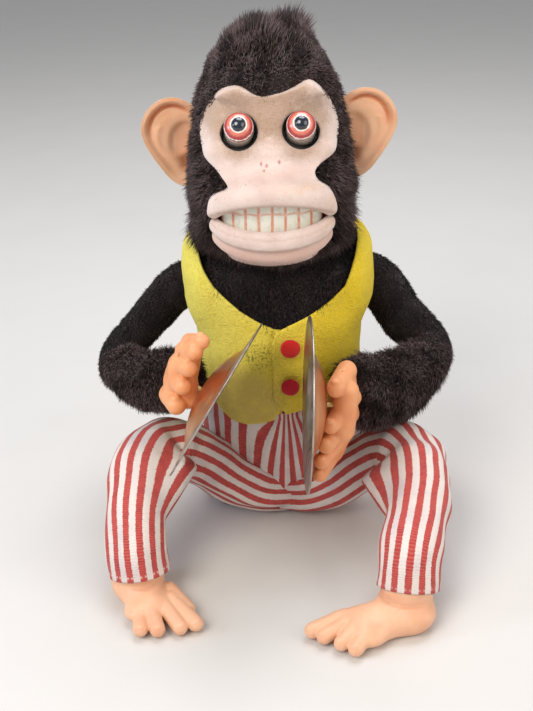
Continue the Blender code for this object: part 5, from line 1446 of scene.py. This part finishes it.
def feet(look):
    """Bare soft feet: rounded heel, low instep, separate toes with nails and a crease behind each."""
    step = 0.6
    for name, spec in FEET.items():
        heel, ball = np.array((*spec["heel"], 0.0)), np.array((*spec["ball"], 0.0))
        ahead = unit(ball - heel)
        across = np.array((-ahead[1], ahead[0], 0.0))
        ankle = np.array((*spec["ankle"], 0.0))
        tips = np.array([np.array((*tip, 0.0)) for _, tip, _ in spec["toes"]] + [heel, ball, ankle])
        low = tips.min(0) - (19, 19, 3)
        high = tips.max(0) + (19, 19, spec["top"] + 9)
        place = field_box(low, high, step)
        turn = np.array([ahead, across, (0, 0, 1)])
        top = spec["top"]
        body = ellipsoid(place, heel + ahead * 12.5 + (0, 0, 8.2), (12.0, 11.0, 8.2), turn)
        body = join(body, capsule(place, ankle + (0, 0, 9), ankle + (0, 0, top + 4.0), 12.0, 12.6), 4.0)
        instep = capsule(place, ankle + ahead * 2 + (0, 0, 8.5), ball - ahead * 6 + (0, 0, 6.8), 10.0, 6.4)
        body = join(body, instep, 6.0)
        body = join(body, ellipsoid(place, ball - ahead * 6.5 + (0, 0, 5.8), (10.0, 13.6, 5.9), turn), 4.0)
        for base, _, _ in (spec["toes"][0], spec["toes"][spec["outer"]]):
            body = join(body, capsule(place, heel + ahead * 14 + (0, 0, 7.4), (*base, 5.6), 8.6, 4.6), 3.5)
        spread = np.hypot(place[0] - ankle[0], place[1] - ankle[1])
        body = np.maximum(body, np.minimum(place[2] - top, spread - 12.8))
        for base, tip, radius in spec["toes"]:
            base, tip = np.array((*base, 6.0)), np.array((*tip, 4.9))
            along = unit(tip - base)
            base = base - along * 3.0
            toe = capsule(place, base, tip, radius * 0.94, radius * 0.86)
            body = join(body, toe, 0.9)
            nail = tip + np.array((0, 0, radius * 0.66)) + along * 1.0
            body = join(body, ellipsoid(place, nail, (2.2, 2.2, 0.9)), 0.5)
            fold = tip - along * 5.0 + np.array((0, 0, radius * 1.02))
            side = np.cross(along, (0, 0, 1))
            body = carve(body, capsule(place, fold - side * 2.0, fold + side * 2.0, 0.35), 1.0)
        body = np.maximum(body, 0.5 - place[2])
        points, quads = surface(body.astype(np.float32), low, step)
        points = relax(points, quads, 2)
        points[:, 2] = np.maximum(points[:, 2], 0.45)
        piece(name + "_soft_foot", points, quads, look, "base", (name + "_foot",))


# ---------------------------------------------------------------- stage, lights and camera

def stage():
    """Pale floor, soft studio lights and the camera."""
    floor_look = Look("floor", (0.62, 0.60, 0.57), 0.75)
    floor_look.colour(floor_look.blend((0.62, 0.60, 0.57), (0.66, 0.64, 0.61), floor_look.noise(60.0, 4.0)))
    floor_look.bump(floor_look.noise(3.0), 0.05)
    points = [(-4000, -3000, 0), (4000, -3000, 0), (4000, 5000, 0), (-4000, 5000, 0)]
    floor = piece("floor", points, [(0, 1, 2, 3)], floor_look.material, None, smooth=False)

    world = bpy.data.worlds.new("studio")
    bpy.context.scene.world = world
    world.use_nodes = True
    world.node_tree.nodes["Background"].inputs["Color"].default_value = (0.92, 0.95, 1.0, 1.0)
    world.node_tree.nodes["Background"].inputs["Strength"].default_value = 0.42

    lights = (
        ("key", (-0.55, -0.75, 0.95), 0.75, 10.2, (1.0, 0.94, 0.86)),
        ("fill", (0.85, -0.55, 0.55), 0.9, 4.4, (1.0, 0.93, 0.84)),
        ("top", (0.1, 0.25, 1.1), 0.8, 8.0, (0.92, 0.93, 1.0)),
        ("window", (-0.95, -0.30, 0.45), 0.35, 2.6, (0.62, 0.78, 1.0)),
    )
    for name, place, size, power, tint in lights:
        data = bpy.data.lights.new(name, "AREA")
        data.shape = "DISK"
        data.size = size
        data.energy = power
        data.color = tint
        lamp = bpy.data.objects.new(name, data)
        lamp.location = place
        lamp.rotation_euler = (Vector((0, -0.03, 0.14)) - Vector(place)).to_track_quat("-Z", "Y").to_euler()
        bpy.context.scene.collection.objects.link(lamp)

    data = bpy.data.cameras.new("camera")
    data.sensor_width = 36.0
    data.lens = 36.0 * CAMERA_FOCAL
    data.clip_start = 0.01
    data.clip_end = 20.0
    camera = bpy.data.objects.new("camera", data)
    tilt = Matrix.Rotation(math.radians(90.0) - CAMERA_PITCH, 4, "X")
    camera.matrix_world = Matrix.Translation(CAMERA_PLACE) @ tilt @ Matrix.Rotation(-CAMERA_ROLL, 4, "Z")
    bpy.context.scene.collection.objects.link(camera)
    bpy.context.scene.camera = camera
    bpy.context.scene.view_settings.view_transform = "Standard"


def mechanism_looks(frame):
    """Procedural materials for the CAD pieces that stay on show, by the record's material slot."""
    looks = {
        "tin": metal("tinplate", (0.60, 0.61, 0.63), 0.30, 6.0, (1, 1, 0.15)),
        "steel": metal("steel", (0.50, 0.50, 0.52), 0.36, 1.0, (1, 1, 0.2)),
        "brass": metal("brass", (0.70, 0.52, 0.22), 0.32, 1.2),
        "white_plastic": moulded("white_plastic", (0.76, 0.75, 0.70), 0.45),
        "black_plastic": moulded("black_plastic", (0.020, 0.018, 0.018), 0.75),
        "cell_sleeve": moulded("cell_sleeve", (0.12, 0.14, 0.17), 0.35),
    }
    slots = {part["node"]: part["material_slot"] for part in frame["record"]["subparts"]}
    for name, node in frame["nodes"].items():
        look = looks.get(slots[name])
        if look:
            node.data.materials.clear()
            node.data.materials.append(look)


def main():
    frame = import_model()
    mechanism_looks(frame)
    # Each root colour is a darker copy of its tip colour: painted shade deep in the pile. The grey tips are a painted
    # highlight.
    pile = [
        fibre("pile_root_dark", (0.012, 0.008, 0.008), 0.75), fibre("pile_root_brown", (0.024, 0.015, 0.013), 0.75),
        fibre("pile_root_umber", (0.036, 0.021, 0.016), 0.75), fibre("pile_root_grey", (0.040, 0.029, 0.031), 0.75),
        fibre("pile_tip_dark", (0.022, 0.013, 0.012), 0.7), fibre("pile_tip_brown", (0.058, 0.035, 0.031), 0.7),
        fibre("pile_tip_umber", (0.092, 0.055, 0.045), 0.7), fibre("pile_tip_highlight_grey", (0.14, 0.100, 0.100), 0.65),
    ]
    # Nap roots are darker copies of the tips: painted shade deep in the pile.
    nap = [
        fibre("nap_root_black", (0.006, 0.005, 0.006), 0.8), fibre("nap_root_brown", (0.012, 0.008, 0.008), 0.8),
        fibre("nap_tip_black", (0.020, 0.015, 0.016), 0.65), fibre("nap_tip_brown", (0.062, 0.043, 0.040), 0.65),
    ]
    backing = undercoat("plush_backing", (0.012, 0.008, 0.008), (0.03, 0.02, 0.018)).material
    points, quads = head_skin(backing)
    head_fur(pile, points, quads)
    face(face_look())
    teeth()
    mouth_lining()
    eyes()
    ears((0.86, 0.52, 0.33))
    arms(pile, nap, backing)
    chest(nap, backing)
    vest(vest_look())
    buttons()
    hands(vinyl("hand_vinyl", (0.80, 0.36, 0.165), (0.74, 0.29, 0.12), (0.82, 0.36, 0.19)).material)
    cymbals(cymbal_look())
    cotton = stripe_look()
    trouser_seat(cotton)
    for name, side in SIDES:
        trouser_leg(name, side, cotton)
    feet(vinyl("foot_vinyl", (0.80, 0.46, 0.285), (0.75, 0.39, 0.23), (0.80, 0.39, 0.25)).material)
    stage()


main()
